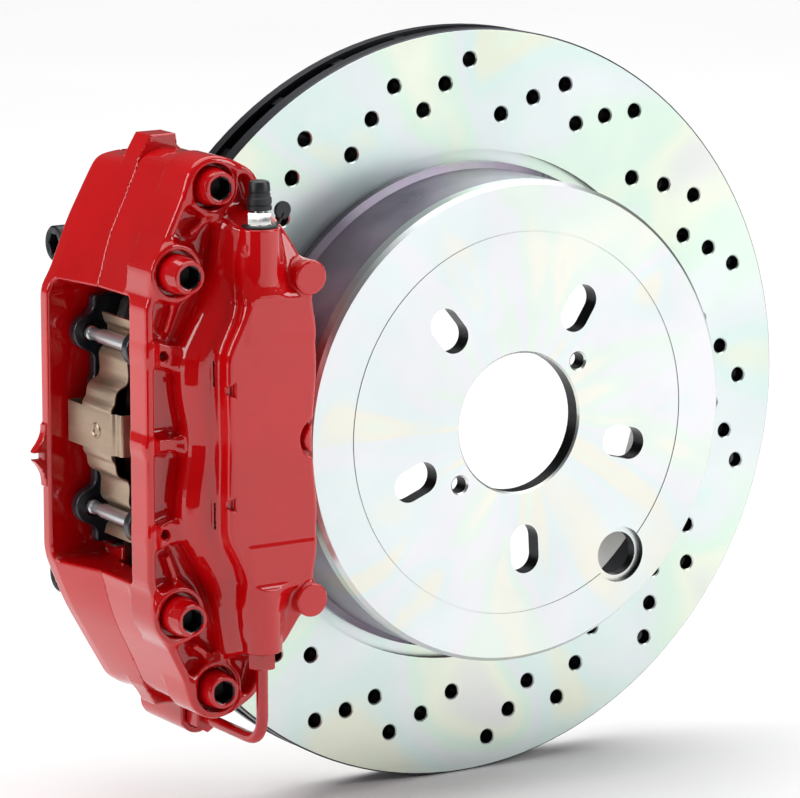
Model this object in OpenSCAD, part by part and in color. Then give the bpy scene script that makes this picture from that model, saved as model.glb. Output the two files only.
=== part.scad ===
// Vented, cross-drilled brake disc with a drum-in-hat, and a fixed four-piston caliper.
// Origin: on the disc's axis, at the hat's hub mounting face. +Y points inboard (to the hub),
// -Y to the wheel, +Z up. The caliper sits at -X.

/* [Disc] */
// Outside diameter of the friction ring
disc_d = 316; // [312:1:318]
// Thickness of the friction ring over both plates
disc_t = 20; // [18:1:20]
// Thickness of each friction plate
plate_t = 6; // [5:0.5:6]
// Distance from the hub mounting face to the wheel-side friction face
disc_offset = 35; // [34:1:36]
// Outside radius of the hat
hat_r = 100.2; // [99:0.2:100.2]
// Thickness of the hat's face
hat_t = 7.4; // [6:0.2:8]
// Radius of the drum track inside the hat
drum_r = 95; // [94:0.5:95]
// Diameter of the hub bore
bore_d = 58; // [54:1:60]
// Number of cooling vanes
vanes = 31; // [25:1:37]
// Diameter of the drilled holes
drill_d = 6.2; // [5:0.2:7]

/* [Hat holes] */
// Small pitch circle that the stud slots reach
pcd_small = 100; // [100:1:102]
// Large pitch circle that the stud slots reach
pcd_large = 114.3; // [112:0.1:116]
// Width of the stud slots
slot_w = 13.5; // [12:0.5:14]
// Angle of the first stud slot
slot_a0 = -14.8; // [-18:0.1:-12]
// Radius of the circle with the two M8 jacking holes
jack_r = 36.8; // [36:0.2:38]
// Radius of the circle with the adjuster hole
adjuster_r = 79.6; // [78:0.2:80]

/* [Caliper] */
// Height of the caliper's centre line over the disc's axis
caliper_rise = 6; // [4:1:7]
// Piston diameter
piston_d = 30; // [28:1:30]
// Distance of each piston from the caliper's centre line
piston_z = 29; // [28:1:30]
// Distance of the pistons from the disc's vertical plane
piston_x = 128; // [127:1:129]
// Gap between each pad and the disc with the brake off
pad_gap = 0.45; // [0.45:0.05:0.6]
// Thickness of the friction lining
lining_t = 9; // [6:0.5:9]
// Thickness of a pad's backing plate
backing_t = 5; // [4:0.5:5]
// Half the height of the window over the pads
window_z = 58; // [57:1:59]
// Distance of the pad pins from the disc's vertical plane
pin_x = 160; // [159.5:0.5:161]
// Distance of the pad pins from the caliper's centre line
pin_z = 36; // [35:1:37]
// Distance of the mounting screws from the caliper's centre line
mount_z = 69; // [68:1:70]
// Y position of the mounting screws
mount_y = 89.5; // [89:0.5:90]

/* [Hidden] */
$fn = 96;

// Disc
disc_r = disc_d / 2;
ring_y0 = disc_offset;
ring_y1 = disc_offset + disc_t;
mid_y = (ring_y0 + ring_y1) / 2;
ring_in = 107.8;          // inner edge of the wheel-side friction face
neck_r = 102.7;           // where the ring joins the drum
intake_r = 112;           // inner edge of the hub-side plate
groove_y = ring_y0 + 3.5; // floor of the relief groove
hub_pad_r = 71;           // the hub rests on the hat inside this radius
relief = 0.5;             // the rest of the hat's back is this much lower
slot_mid_r = (pcd_small + pcd_large) / 4;
slot_reach = (pcd_large - pcd_small) / 4;
drill_pitch = 3 * 360 / vanes;   // the drilling repeats every three vanes
drill_top = 89;
drill_rows_a = [[145.3, 0], [136.2, 4.9], [127.3, 10.0]];
drill_rows_b = [[140.7, 15.0], [131.7, 20.9], [122.7, 27.4]];

// Caliper
body_r = disc_r + 2.5;               // inside of the bridge, around the disc
stack_t = lining_t + backing_t;      // a pad without its shim
shim_t = 0.8;
outer_pad_y = ring_y0 - pad_gap;     // faces of the linings
inner_pad_y = ring_y1 + pad_gap;
outer_back_y = outer_pad_y - stack_t - shim_t;
inner_back_y = inner_pad_y + stack_t + shim_t;
wall_gap = 2.4;                      // from a pad's shim to the caliper's wall
outer_wall_y = outer_back_y - wall_gap;
inner_wall_y = inner_back_y + wall_gap;
split_y = mid_y;
shoulder_y = 3;                      // room between a shoulder and the disc
pad_z = 52;                          // half a pad's height
abut_t = 0.8;
pad_room_z = pad_z + abut_t + 0.4;
pad_in_r = 109;
pad_out_r = 156;
brow_x = 158.5;                      // straight outer edge of a pad's backing plate
piston_r = piston_d / 2;
bore_clear = 0.05;
bore_floor = 22;                     // depth of a piston bore
piston_len = 22;
boot_t = 1.6;
bolt_r = 5;
bolt_head_r = 8;
bolt_head_h = 10;
near_bolt = [-155.5, 69, 0];         // x, z and seat y of the bolts beside the window
far_bolt = [-138, 102, 6];           // x, z and seat y of the bolts at the ends
port_x = -123;
port_y = -8;
port_z = 86;
port_r = 8;
inner_port = [-120.5, 93];            // x and y of the hub-side bleed port
pin_r = 3;
sleeve_y = 75.5;                     // inner end of the sleeves that hold the pins
sleeve_r = 4.05;
panel_y = -15;
face_y = 5;                          // the outer half's front face beside the window
near_rim_x = -168.5;                 // outer face of the casting at the window's two long edges
far_rim_x = -175.5;
step_y = 80.6;                       // the hub-side half steps back behind this plane
boss_at = [-104.5, 65.5];
pipe_r = 2.4;
pipe_bend = 10;
pipe_low = -124;                     // height of the pipe under the caliper
knuckle_x = -112;                    // the mounting face
seat_x = -150;                       // the mounting screws' seats
inlet_x = -117;                      // the fluid inlet, M10 by 1
inlet_r = 4.5;
tab_z = -15;                         // the notched tab on the rim

// One end of the caliper's outline; the other end mirrors it
function both(p) = concat(p, [for (i = [len(p) - 1 : -1 : 0]) if (p[i][1] > 0) [p[i][0], -p[i][1]]]);
shell_left = [[-176, 0], [-176, 57], [-165, 74], [-160.5, 82], [-153.5, 95], [-147, 110], [-139, 113],
              [-127, 112]];
outer_right = [[-118, 107], [-113, 90], [-107, 78], [-101.5, 66], [-103, 57], [-101, 46], [-100.5, 27],
               [-104, 0]];
hub_left = [[-176, 0], [-176, 55], [-171, 62], [-164.5, 79.5], [-155, 97], [-148, 109], [-140, 112],
            [-127, 111]];
inner_right = [[-117, 104], [knuckle_x, 92], [knuckle_x, 50], [-104, 40], [-104, 0]];
rear_shape = [[seat_x, 0], [seat_x, 78], [-140, 86], [-118, 86], [knuckle_x, 80], [knuckle_x, 50],
              [-104, 40], [-104, 0]];
panel_shape = [[-141, 0], [-141, 22], [-141.5, 38], [-129, 63], [-103, 59], [-101, 46], [-100.5, 27],
               [-104, 0]];
ridge_shape = [[-146, 0], [-149, 22], [-149, 36], [-134, 64], [-131, 82], [-113, 85.8], [-101.5, 66],
               [-100.5, 27], [-104, 0]];

module y_ext(y0, y1) translate([0, y1, 0]) rotate([90, 0, 0]) linear_extrude(y1 - y0) children();
module y_cyl(r, y0, y1) y_ext(y0, y1) circle(r);
module x_cyl(r, x0, x1) translate([x0, 0, 0]) rotate([0, 90, 0]) cylinder(r = r, h = x1 - x0);
module z_cyl(r, z0, z1) translate([0, 0, z0]) cylinder(r = r, h = z1 - z0);
module y_turn() rotate([-90, 0, 0]) rotate_extrude($fn = 180) children();
module slab(x0, x1, y0, y1, z0, z1) translate([x0, y0, z0]) cube([x1 - x0, y1 - y0, z1 - z0]);
module caliper_frame() translate([0, 0, caliper_rise]) children();
module ends() { children(); mirror([0, 0, 1]) children(); }
module polar(r, a) translate([r * cos(a), 0, r * sin(a)]) children();
module at(x, z) translate([x, 0, z]) children();

// ---------------------------------------------------------------- disc

// A round-ended slot from true cylinders and a block
module true_slot() {
    for (s = [-1, 1]) translate([s * slot_reach, 0, 0]) y_cyl(slot_w / 2, -hat_t - 1, 1);
    slab(-slot_reach, slot_reach, -hat_t - 1, 1, -slot_w / 2, slot_w / 2);
}

module disc_hat() color([0.82, 0.83, 0.85]) difference() {
    y_turn() polygon([[bore_d / 2 + 0.8, -hat_t], [hat_r - 1.6, -hat_t], [hat_r, -hat_t + 1.6],
                      [hat_r, -relief], [hub_pad_r, -relief], [hub_pad_r, 0], [bore_d / 2, 0],
                      [bore_d / 2, -hat_t + 0.8]]);
    for (k = [0 : 4]) rotate([0, -(slot_a0 + 72 * k), 0]) translate([slot_mid_r, 0, 0]) true_slot();
    for (a = [38.5, 218.5]) polar(jack_r, a) {
        y_cyl(3.4, -hat_t - 1, 1);
        y_turn() polygon([[0, -hat_t - 0.1], [4.3, -hat_t - 0.1], [3.3, -hat_t + 0.9], [0, -hat_t + 0.9]]);
    }
    polar(adjuster_r, -50.7) {
        y_cyl(9.3, -hat_t - 1, 1);
        y_cyl(11.75, -hat_t - 1, -hat_t + 2.4);
    }
    y_turn() polygon([[79.4, -hat_t - 1], [80, -hat_t - 1], [80, -hat_t + 0.3], [79.4, -hat_t + 0.3]]);
}

module disc_drum() color([0.62, 0.64, 0.70]) y_turn() polygon([
    [drum_r + 1.5, -relief], [hat_r, -relief], [hat_r, ring_y0 - 3], [neck_r, ring_y0 - 0.5],
    [neck_r, ring_y0 + plate_t],
    [neck_r + 1.8, ring_y0 + plate_t], [neck_r + 1.8, ring_y1], [neck_r - 0.7, ring_y1],
    [drum_r, ring_y1 - 9], [drum_r, 6], [drum_r + 1.5, 5]]);

module drilling(r, a) polar(r, a) {
    y_cyl(drill_d / 2, ring_y0 - 1, ring_y1 + 1);
    for (face = [[ring_y0, 1], [ring_y1, -1]])
        y_turn() polygon([[0, face[0] - 0.1 * face[1]], [drill_d / 2 + 0.6, face[0] - 0.1 * face[1]],
                          [drill_d / 2 - 0.1, face[0] + 0.6 * face[1]], [0, face[0] + 0.6 * face[1]]]);
}

module disc_ring() color([0.86, 0.88, 0.90]) difference() {
    union() {
        y_turn() polygon([[neck_r, groove_y], [ring_in, groove_y], [ring_in, ring_y0], [disc_r - 0.7, ring_y0],
                          [disc_r, ring_y0 + 0.7], [disc_r, ring_y0 + plate_t], [neck_r, ring_y0 + plate_t]]);
        y_turn() polygon([[intake_r, ring_y1 - plate_t], [disc_r, ring_y1 - plate_t], [disc_r, ring_y1 - 0.7],
                          [disc_r - 0.7, ring_y1], [intake_r, ring_y1]]);
        for (k = [0 : vanes - 1]) rotate([0, (k + 0.5) * 360 / vanes, 0])
            slab(intake_r + 1, disc_r - 1.5, ring_y0 + plate_t - 0.5, ring_y1 - plate_t + 0.5, -2.3, 2.3);
    }
    for (k = [0 : 9]) for (row = concat(drill_rows_a, drill_rows_b))
        drilling(row[0], drill_top - k * drill_pitch + row[1]);
    for (row = drill_rows_b) drilling(row[0], drill_top + 19 + row[1]);
}

// ------------------------------------------------------------- caliper bodies

// Keeps a half inside the sloping outer surface of the casting
module outer_slope() linear_extrude(300, center = true)
    polygon([[-90, -30], [-140, -30], [-160, panel_y + 3], [near_rim_x, 0], [near_rim_x, outer_wall_y],
             [far_rim_x, inner_wall_y], [far_rim_x, step_y], [-152, step_y + 0.01], [-152, 104], [-147, 109],
             [-90, 112]]);

module disc_room() caliper_disc() y_cyl(body_r, ring_y0 - shoulder_y, ring_y1 + shoulder_y);
module caliper_disc() translate([0, 0, -caliper_rise]) children();
module pad_room() slab(-200, -90, outer_wall_y, inner_wall_y, -pad_room_z, pad_room_z);
module window() slab(-200, -150, outer_wall_y, inner_wall_y, -window_z, window_z);

module piston_spots() for (s = [-1, 1]) at(-piston_x, s * piston_z) children();

module bolt_holes(r, y1) ends() for (b = [near_bolt, far_bolt]) at(b[0], b[1]) y_cyl(r, b[2] - 0.1, y1);

module outer_half() color([0.72, 0.02, 0.05]) caliper_frame() difference() {
    intersection() {
        union() {
            y_ext(face_y, split_y) polygon(both(concat(shell_left, outer_right)));
            slab(near_rim_x - 1, near_rim_x + 4, face_y - 2.5, face_y + 1, -window_z, window_z);
            y_ext(-6, face_y + 1) polygon(both(ridge_shape));
            y_ext(panel_y, 0) polygon(both(panel_shape));
            ends() {
                at(near_bolt[0], near_bolt[1]) y_cyl(11.5, near_bolt[2], 10);
                at(boss_at[0], boss_at[1]) y_cyl(7, panel_y - 2, face_y + 3);
                translate([port_x, port_y, 0]) z_cyl(port_r, 60, port_z);
                slab(port_x - port_r, port_x + port_r, port_y, face_y + 1, 60, port_z);
            }
        }
        outer_slope();
    }
    disc_room();
    pad_room();
    window();
    piston_spots() y_cyl(piston_r + bore_clear, outer_wall_y - bore_floor, outer_wall_y + 1);
    piston_spots() y_cyl(piston_r + 2.2, outer_wall_y - 9, outer_wall_y - 6.6);
    piston_spots() y_cyl(piston_r + 3.1, outer_wall_y - boot_t, outer_wall_y + 1);
    ends() at(far_bolt[0], far_bolt[1]) y_cyl(bolt_head_r + 1.2, -20, far_bolt[2]);
    ends() at(near_bolt[0], near_bolt[1]) y_cyl(bolt_head_r + 1.2, -20, near_bolt[2]);
    bolt_holes(bolt_r + 0.2, split_y + 1);
    ends() at(-pin_x, pin_z) y_cyl(pin_r + 0.05, -20, outer_wall_y + 1);
    ends() translate([port_x, port_y, 0]) z_cyl(3.5, port_z - 14, port_z + 1);
    at(-101, 0) ring_y(5.5, 7, panel_y - 3, panel_y + 4);
    ends() abutment_tap(1);
}

module inner_half() color([0.72, 0.02, 0.05]) caliper_frame() difference() {
    intersection() {
        union() {
            y_ext(split_y, step_y) polygon(both(concat(hub_left, inner_right)));
            y_ext(step_y - 1, 101) polygon(both(rear_shape));
            piston_spots() y_cyl(20, 90, 107);
            ends() slab(-143, -131, split_y, split_y + 12, 105, 117);
            translate([inner_port[0], inner_port[1], 0]) z_cyl(port_r, 60, port_z);
            at(port_x, pipe_low) y_cyl(8, split_y, step_y);
            slab(port_x - 8, port_x + 8, split_y, step_y, pipe_low, -104);
            slab(far_rim_x - 9, far_rim_x + 2, step_y - 6, step_y, tab_z - 7, tab_z + 7);
        }
        union() {
            outer_slope();
            slab(far_rim_x - 9, far_rim_x + 2, step_y - 6, step_y, tab_z - 7, tab_z + 7);
        }
    }
    disc_room();
    pad_room();
    window();
    piston_spots() y_cyl(piston_r + bore_clear, inner_wall_y - 1, inner_wall_y + bore_floor);
    piston_spots() y_cyl(piston_r + 2.2, inner_wall_y + 6.6, inner_wall_y + 9);
    piston_spots() y_cyl(piston_r + 3.1, inner_wall_y - 1, inner_wall_y + boot_t);
    bolt_holes(bolt_r, split_y + 36);
    ends() at(-pin_x, pin_z) y_cyl(pin_r + 0.05, inner_wall_y - 1, 130);
    ends() at(-pin_x, pin_z) y_cyl(sleeve_r + 0.05, sleeve_y - 0.5, 130);
    ends() translate([0, mount_y, mount_z]) x_cyl(bolt_r + 0.25, -200, -90);
    translate([inner_port[0], inner_port[1], 0]) z_cyl(3.5, port_z - 12, port_z + 1);
    at(port_x, pipe_low) y_cyl(5, split_y - 1, split_y + 12);
    at(inlet_x, 0) y_cyl(inlet_r, 86, 120);
    slab(-190, far_rim_x - 4, step_y - 8, step_y + 2, tab_z - 1.6, tab_z + 1.6);
    ends() abutment_tap(-1);
}

module bridge_bolts() color([0.70, 0.03, 0.06]) caliper_frame() ends() for (b = [near_bolt, far_bolt])
    at(b[0], b[1]) difference() {
        union() {
            y_turn() polygon([[0, b[2] - bolt_head_h], [bolt_head_r - 0.8, b[2] - bolt_head_h],
                              [bolt_head_r, b[2] - bolt_head_h + 0.8], [bolt_head_r, b[2]], [0, b[2]]]);
            y_cyl(bolt_r, b[2], split_y + 34);
        }
        y_ext(b[2] - bolt_head_h - 1, b[2] - bolt_head_h + 6) circle(4.6, $fn = 6);
    }

module mounting_screws() color([0.08, 0.08, 0.09]) caliper_frame() ends() translate([0, mount_y, mount_z])
    difference() {
        union() {
            x_cyl(7.5, seat_x - 13.5, seat_x - 1.5);
            x_cyl(bolt_r - 0.5, seat_x - 1.5, knuckle_x);
            x_cyl(bolt_r, knuckle_x, knuckle_x + 22);
        }
        translate([seat_x - 14, 0, 0]) rotate([0, 90, 0]) cylinder(r = 4.6, h = 6, $fn = 6);
    }

module mounting_washers() color([0.55, 0.56, 0.58]) caliper_frame() ends() translate([0, mount_y, mount_z])
    difference() {
        x_cyl(8.5, seat_x - 1.5, seat_x);
        x_cyl(bolt_r + 0.3, seat_x - 2, seat_x + 1);
    }

// ------------------------------------------------------------- pistons and pads

// side is -1 for the wheel-side pistons and 1 for the hub-side ones; back_y is the pad shim's face
module pistons(side, back_y) caliper_frame() piston_spots() difference() {
    y_cyl(piston_r, min(back_y, back_y + side * piston_len), max(back_y, back_y + side * piston_len));
    y_cyl(piston_r - 4, min(back_y - side, back_y + side * 15), max(back_y - side, back_y + side * 15));
}
module outer_pistons() color([0.78, 0.79, 0.80]) pistons(-1, outer_back_y);
module inner_pistons() color([0.78, 0.79, 0.80]) pistons(1, inner_back_y);

module ring_y(r0, r1, y0, y1) difference() { y_cyl(r1, y0, y1); y_cyl(r0, y0 - 1, y1 + 1); }

module piston_seals() color([0.12, 0.12, 0.13]) caliper_frame() piston_spots() {
    ring_y(piston_r + 0.05, piston_r + 2.1, outer_wall_y - 8.9, outer_wall_y - 6.7);
    ring_y(piston_r + 0.05, piston_r + 2.1, inner_wall_y + 6.7, inner_wall_y + 8.9);
}

module dust_boots() color([0.10, 0.10, 0.11]) caliper_frame() piston_spots() {
    ring_y(piston_r + 0.3, piston_r + 3, outer_wall_y - boot_t, outer_wall_y);
    ring_y(piston_r + 0.3, piston_r + 3, inner_wall_y, inner_wall_y + boot_t);
}

// The part of a pad between two arcs about the disc's axis
module pad_sector(z_half) intersection() {
    translate([0, -caliper_rise]) difference() { circle(pad_out_r, $fn = 180); circle(pad_in_r, $fn = 180); }
    translate([-200, -z_half]) square([110, 2 * z_half]);
}

module pad_outline() difference() {
    union() {
        pad_sector(pad_z);
        for (s = [-1, 1]) translate([-pin_x, s * pin_z]) {
            circle(7.5);
            translate([0, -7.5]) square([20, 15]);
        }
        translate([-brow_x, -pad_z]) square([20, 2 * pad_z]);
    }
    for (s = [-1, 1]) translate([-pin_x, s * pin_z]) circle(pin_r + 0.6);
}

module lining_outline() difference() {
    pad_sector(pad_z - 2);
    translate([-170, -1.5]) square([80, 3]);
}

module outer_pad_plate() color([0.10, 0.10, 0.11]) caliper_frame()
    y_ext(outer_pad_y - stack_t, outer_pad_y - lining_t) pad_outline();
module outer_pad_lining() color([0.20, 0.19, 0.18]) caliper_frame()
    y_ext(outer_pad_y - lining_t, outer_pad_y) lining_outline();
module outer_pad_shim() color([0.35, 0.36, 0.38]) caliper_frame()
    y_ext(outer_back_y, outer_back_y + shim_t) pad_sector(pad_z - 3);
module inner_pad_plate() color([0.10, 0.10, 0.11]) caliper_frame()
    y_ext(inner_pad_y + lining_t, inner_pad_y + stack_t) pad_outline();
module inner_pad_lining() color([0.20, 0.19, 0.18]) caliper_frame()
    y_ext(inner_pad_y, inner_pad_y + lining_t) lining_outline();
module inner_pad_shim() color([0.35, 0.36, 0.38]) caliper_frame()
    y_ext(inner_back_y - shim_t, inner_back_y) pad_sector(pad_z - 3);

// ------------------------------------------------------------- pins, spring, wear plates

module pad_pins() color([0.75, 0.76, 0.78]) caliper_frame() ends() at(-pin_x, pin_z)
    y_cyl(pin_r, face_y + 0.8, step_y + 3);
module pin_sleeves() color([0.60, 0.61, 0.63]) caliper_frame() ends() at(-pin_x, pin_z)
    ring_y(pin_r + 0.02, sleeve_r, sleeve_y, step_y + 0.8);

spring_t = 0.8;
spring_x = -168;
// The spring's strip seen along Y: from the middle out and over to one pin
spring_path = [[spring_x, 0], [spring_x, 11], [-162, 16.5], [-162, 19], [-164.5, 23], [-163.5, 29],
               [-156.5, 33.5], [-156.5, 38.5], [-161, 45]];
function unit(v) = v / norm(v);
function normal_at(p, i) = let (d = unit(p[min(i + 1, len(p) - 1)] - p[max(i - 1, 0)])) [-d[1], d[0]];
function strip(p, t) = concat([for (i = [0 : len(p) - 1]) p[i] + normal_at(p, i) * t / 2],
                              [for (i = [len(p) - 1 : -1 : 0]) p[i] - normal_at(p, i) * t / 2]);

module pad_spring() color([0.72, 0.64, 0.52]) caliper_frame() difference() {
    union() {
        ends() y_ext(mid_y - 12, mid_y + 12) polygon(strip(spring_path, spring_t));
        slab(spring_x - spring_t / 2, spring_x + spring_t / 2, 27.5, 70, -8.5, 8.5);
        for (y = [27.5, 69]) slab(spring_x - spring_t / 2, -162, y, y + 1, -8.5, 8.5);
    }
    translate([0, mid_y, 0]) x_cyl(3.05, -180, -160);
}

module spring_rivet() color([0.66, 0.60, 0.50]) caliper_frame() translate([0, mid_y, 0])
    x_cyl(3, spring_x - 1.2, spring_x + 1.2);

// s is 1 on the wheel side and -1 on the hub side
function abut_y(s) = s > 0 ? outer_wall_y : inner_wall_y - 12;
module abutment_tap(s) translate([-132, abut_y(s) + 6, 0]) z_cyl(1.6, pad_room_z - 1, pad_room_z + 8);
module abutment_plates() color([0.80, 0.81, 0.82]) caliper_frame() ends() for (s = [-1, 1]) difference() {
    slab(-152, -114, abut_y(s), abut_y(s) + 12, pad_room_z - abut_t, pad_room_z);
    translate([-132, abut_y(s) + 6, 0]) z_cyl(1.7, pad_room_z - 3, pad_room_z + 1);
}
module abutment_screws() color([0.50, 0.51, 0.53]) caliper_frame() ends() for (s = [-1, 1])
    translate([-132, abut_y(s) + 6, 0]) z_cyl(1.58, pad_room_z - abut_t, pad_room_z + 7);

// ------------------------------------------------------------- hydraulics

// A bleed screw standing up from z = 0: thread below, washer, hexagon and hose nipple above
module bleed_screw() {
    z_cyl(3.45, -12, 0);
    z_cyl(4.6, 0, 1.2);
    translate([0, 0, 1.2]) cylinder(r = 5.2, h = 5, $fn = 6);
    z_cyl(2.6, 6.2, 12);
    z_cyl(3.3, 12, 15);
}

// The rubber cap over the nipple
module bleed_cap() difference() {
    rotate_extrude() polygon([[0, 7], [4.9, 7], [4.9, 12], [4.4, 12.6], [4.4, 14.5], [4.1, 17.8], [3.4, 18.7],
                              [0, 18.7]]);
    z_cyl(3.6, 6, 16);
}

tether_reach = 10.4;                 // place of the tether's disc beside the screw
tether_rise = 6;
module at_outer_port() caliper_frame() translate([port_x, port_y, port_z]) children();
module at_inner_port() caliper_frame() translate([inner_port[0], inner_port[1], port_z]) children();
module outer_bleed_screw() color([0.85, 0.85, 0.84]) at_outer_port() bleed_screw();
module inner_bleed_screw() color([0.85, 0.85, 0.84]) at_inner_port() bleed_screw();
module outer_bleed_cap() color([0.07, 0.08, 0.09]) at_outer_port() bleed_cap();
module inner_bleed_cap() color([0.07, 0.08, 0.09]) at_inner_port() bleed_cap();

// A ring under the screw's washer, with a tongue that ends in a small upright disc
module cap_tether() {
    difference() {
        z_cyl(7.2, 0, 1.1);
        z_cyl(4.7, -1, 2);
    }
    slab(6.2, tether_reach, -1, 0.6, 0, tether_rise - 1);
    at(tether_reach, tether_rise) y_cyl(3.6, -1, 0.6);
}
module cap_tethers() color([0.07, 0.08, 0.09]) {
    at_outer_port() cap_tether();
    at_inner_port() cap_tether();
}

module elbow() rotate_extrude(angle = 90) translate([pipe_bend, 0]) circle(pipe_r, $fn = 32);

module crossover_pipe() color([0.66, 0.03, 0.06]) caliper_frame() {
    translate([port_x, port_y, 0]) z_cyl(pipe_r, pipe_low + pipe_bend, -port_z);
    translate([port_x, port_y + pipe_bend, pipe_low + pipe_bend])
        rotate([0, 90, 0]) rotate([0, 0, -90]) elbow();
    at(port_x, pipe_low) y_cyl(pipe_r, port_y + pipe_bend, split_y + 8);
}

module pipe_nuts() color([0.70, 0.04, 0.07]) caliper_frame() {
    translate([port_x, port_y, 0]) difference() {
        translate([0, 0, -port_z - 7]) cylinder(r = 6, h = 7, $fn = 6);
        z_cyl(pipe_r + 0.02, -port_z - 8, -port_z + 1);
    }
    at(port_x, pipe_low) difference() {
        union() {
            y_ext(split_y - 9, split_y) circle(6, $fn = 6);
            y_cyl(4.9, split_y, split_y + 8);
        }
        y_cyl(pipe_r + 0.02, split_y - 10, split_y + 9);
    }
}

module inlet_plug() color([0.85, 0.70, 0.15]) caliper_frame() at(inlet_x, 0) {
    y_cyl(inlet_r - 0.05, 92, 101);
    y_cyl(6.5, 101, 104);
}

disc_hat();
disc_drum();
disc_ring();
outer_half();
inner_half();
bridge_bolts();
mounting_screws();
mounting_washers();
outer_pistons();
inner_pistons();
piston_seals();
dust_boots();
outer_pad_plate();
outer_pad_lining();
outer_pad_shim();
inner_pad_plate();
inner_pad_lining();
inner_pad_shim();
pad_pins();
pin_sleeves();
pad_spring();
spring_rivet();
abutment_plates();
abutment_screws();
outer_bleed_screw();
inner_bleed_screw();
outer_bleed_cap();
inner_bleed_cap();
cap_tethers();
crossover_pipe();
pipe_nuts();
inlet_plug();
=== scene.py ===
"""Looks of a cross-drilled brake disc with its red four-piston caliper.

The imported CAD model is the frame. The castings, screws, spring, pads and brake pipe are modelled
here in detail, and the disc keeps its CAD shape with machined and zinc-plated finishes.
Lengths are in millimetres until a mesh is made, and heights of caliper parts are measured from
the caliper's own centre line.
"""

import logging
import math
from dataclasses import dataclass
from enum import Enum
from typing import Callable, Sequence

import bmesh
import bpy
import numpy as np
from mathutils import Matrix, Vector


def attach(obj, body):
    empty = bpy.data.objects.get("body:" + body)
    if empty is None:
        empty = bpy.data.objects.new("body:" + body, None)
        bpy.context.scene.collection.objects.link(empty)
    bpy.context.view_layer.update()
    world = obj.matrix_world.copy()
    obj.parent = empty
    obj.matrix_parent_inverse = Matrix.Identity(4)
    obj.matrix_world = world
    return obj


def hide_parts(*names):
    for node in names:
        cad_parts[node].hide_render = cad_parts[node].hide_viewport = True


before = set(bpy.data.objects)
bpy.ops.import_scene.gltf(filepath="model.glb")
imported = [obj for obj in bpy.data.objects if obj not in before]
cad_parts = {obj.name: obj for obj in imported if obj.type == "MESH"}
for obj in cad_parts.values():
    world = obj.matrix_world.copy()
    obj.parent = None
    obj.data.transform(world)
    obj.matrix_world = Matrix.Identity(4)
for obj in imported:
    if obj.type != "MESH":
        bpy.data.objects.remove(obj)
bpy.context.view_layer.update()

log = logging.getLogger("caliper")

MM = 0.001
CALIPER_RISE = 6.0
# Where the slow noise starts and stops changing a finish's colour, and its roughness.
TONE_RAMP = (0.35, 0.65)
TONE_SPAN = (0.3, 0.7)
# A plating's hues run from the low to the high value of their noise, which has few waves: the
# numbers are waves for each radian of turn and for each metre of radius.
HUE_LOW = 0.3
HUE_HIGH = 0.7
HUE_SPAN = 0.4
HUE_WAVES = (1.7, 9.0, 1.0)
# A face is a wall where its normal's y is within this many thousandths of nought.
WALL_TILT = 350.0
# A radius in millimetres beyond everything.
BEYOND = 999.0


# ---------------------------------------------------------------- finishes


def linear(code: str) -> tuple[float, float, float, float]:
    """Turns an sRGB hex colour into linear RGBA.

    Args:
        code: six hex digits.

    Returns:
        Linear red, green, blue and an alpha of 1.
    """
    srgb = np.array([int(code[i : i + 2], 16) for i in (0, 2, 4)]) / 255.0
    value = np.where(srgb <= 0.04045, srgb / 12.92, ((srgb + 0.055) / 1.055) ** 2.4)
    return (float(value[0]), float(value[1]), float(value[2]), 1.0)


def add(
    tree: bpy.types.NodeTree,
    kind: str,
    settings: dict | None = None,
    links: dict | None = None,
) -> bpy.types.Node:
    """Adds one node.

    Args:
        tree: the node tree.
        kind: the node's type.
        settings: values by socket name or number, or by attribute name.
        links: sockets to join, by input name or number.

    Returns:
        The new node.
    """
    node = tree.nodes.new(kind)
    for key, value in (settings or {}).items():
        if isinstance(key, int) or key in node.inputs:
            node.inputs[key].default_value = value
        else:
            setattr(node, key, value)
    for key, source in (links or {}).items():
        tree.links.new(source, node.inputs[key])
    return node


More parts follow.
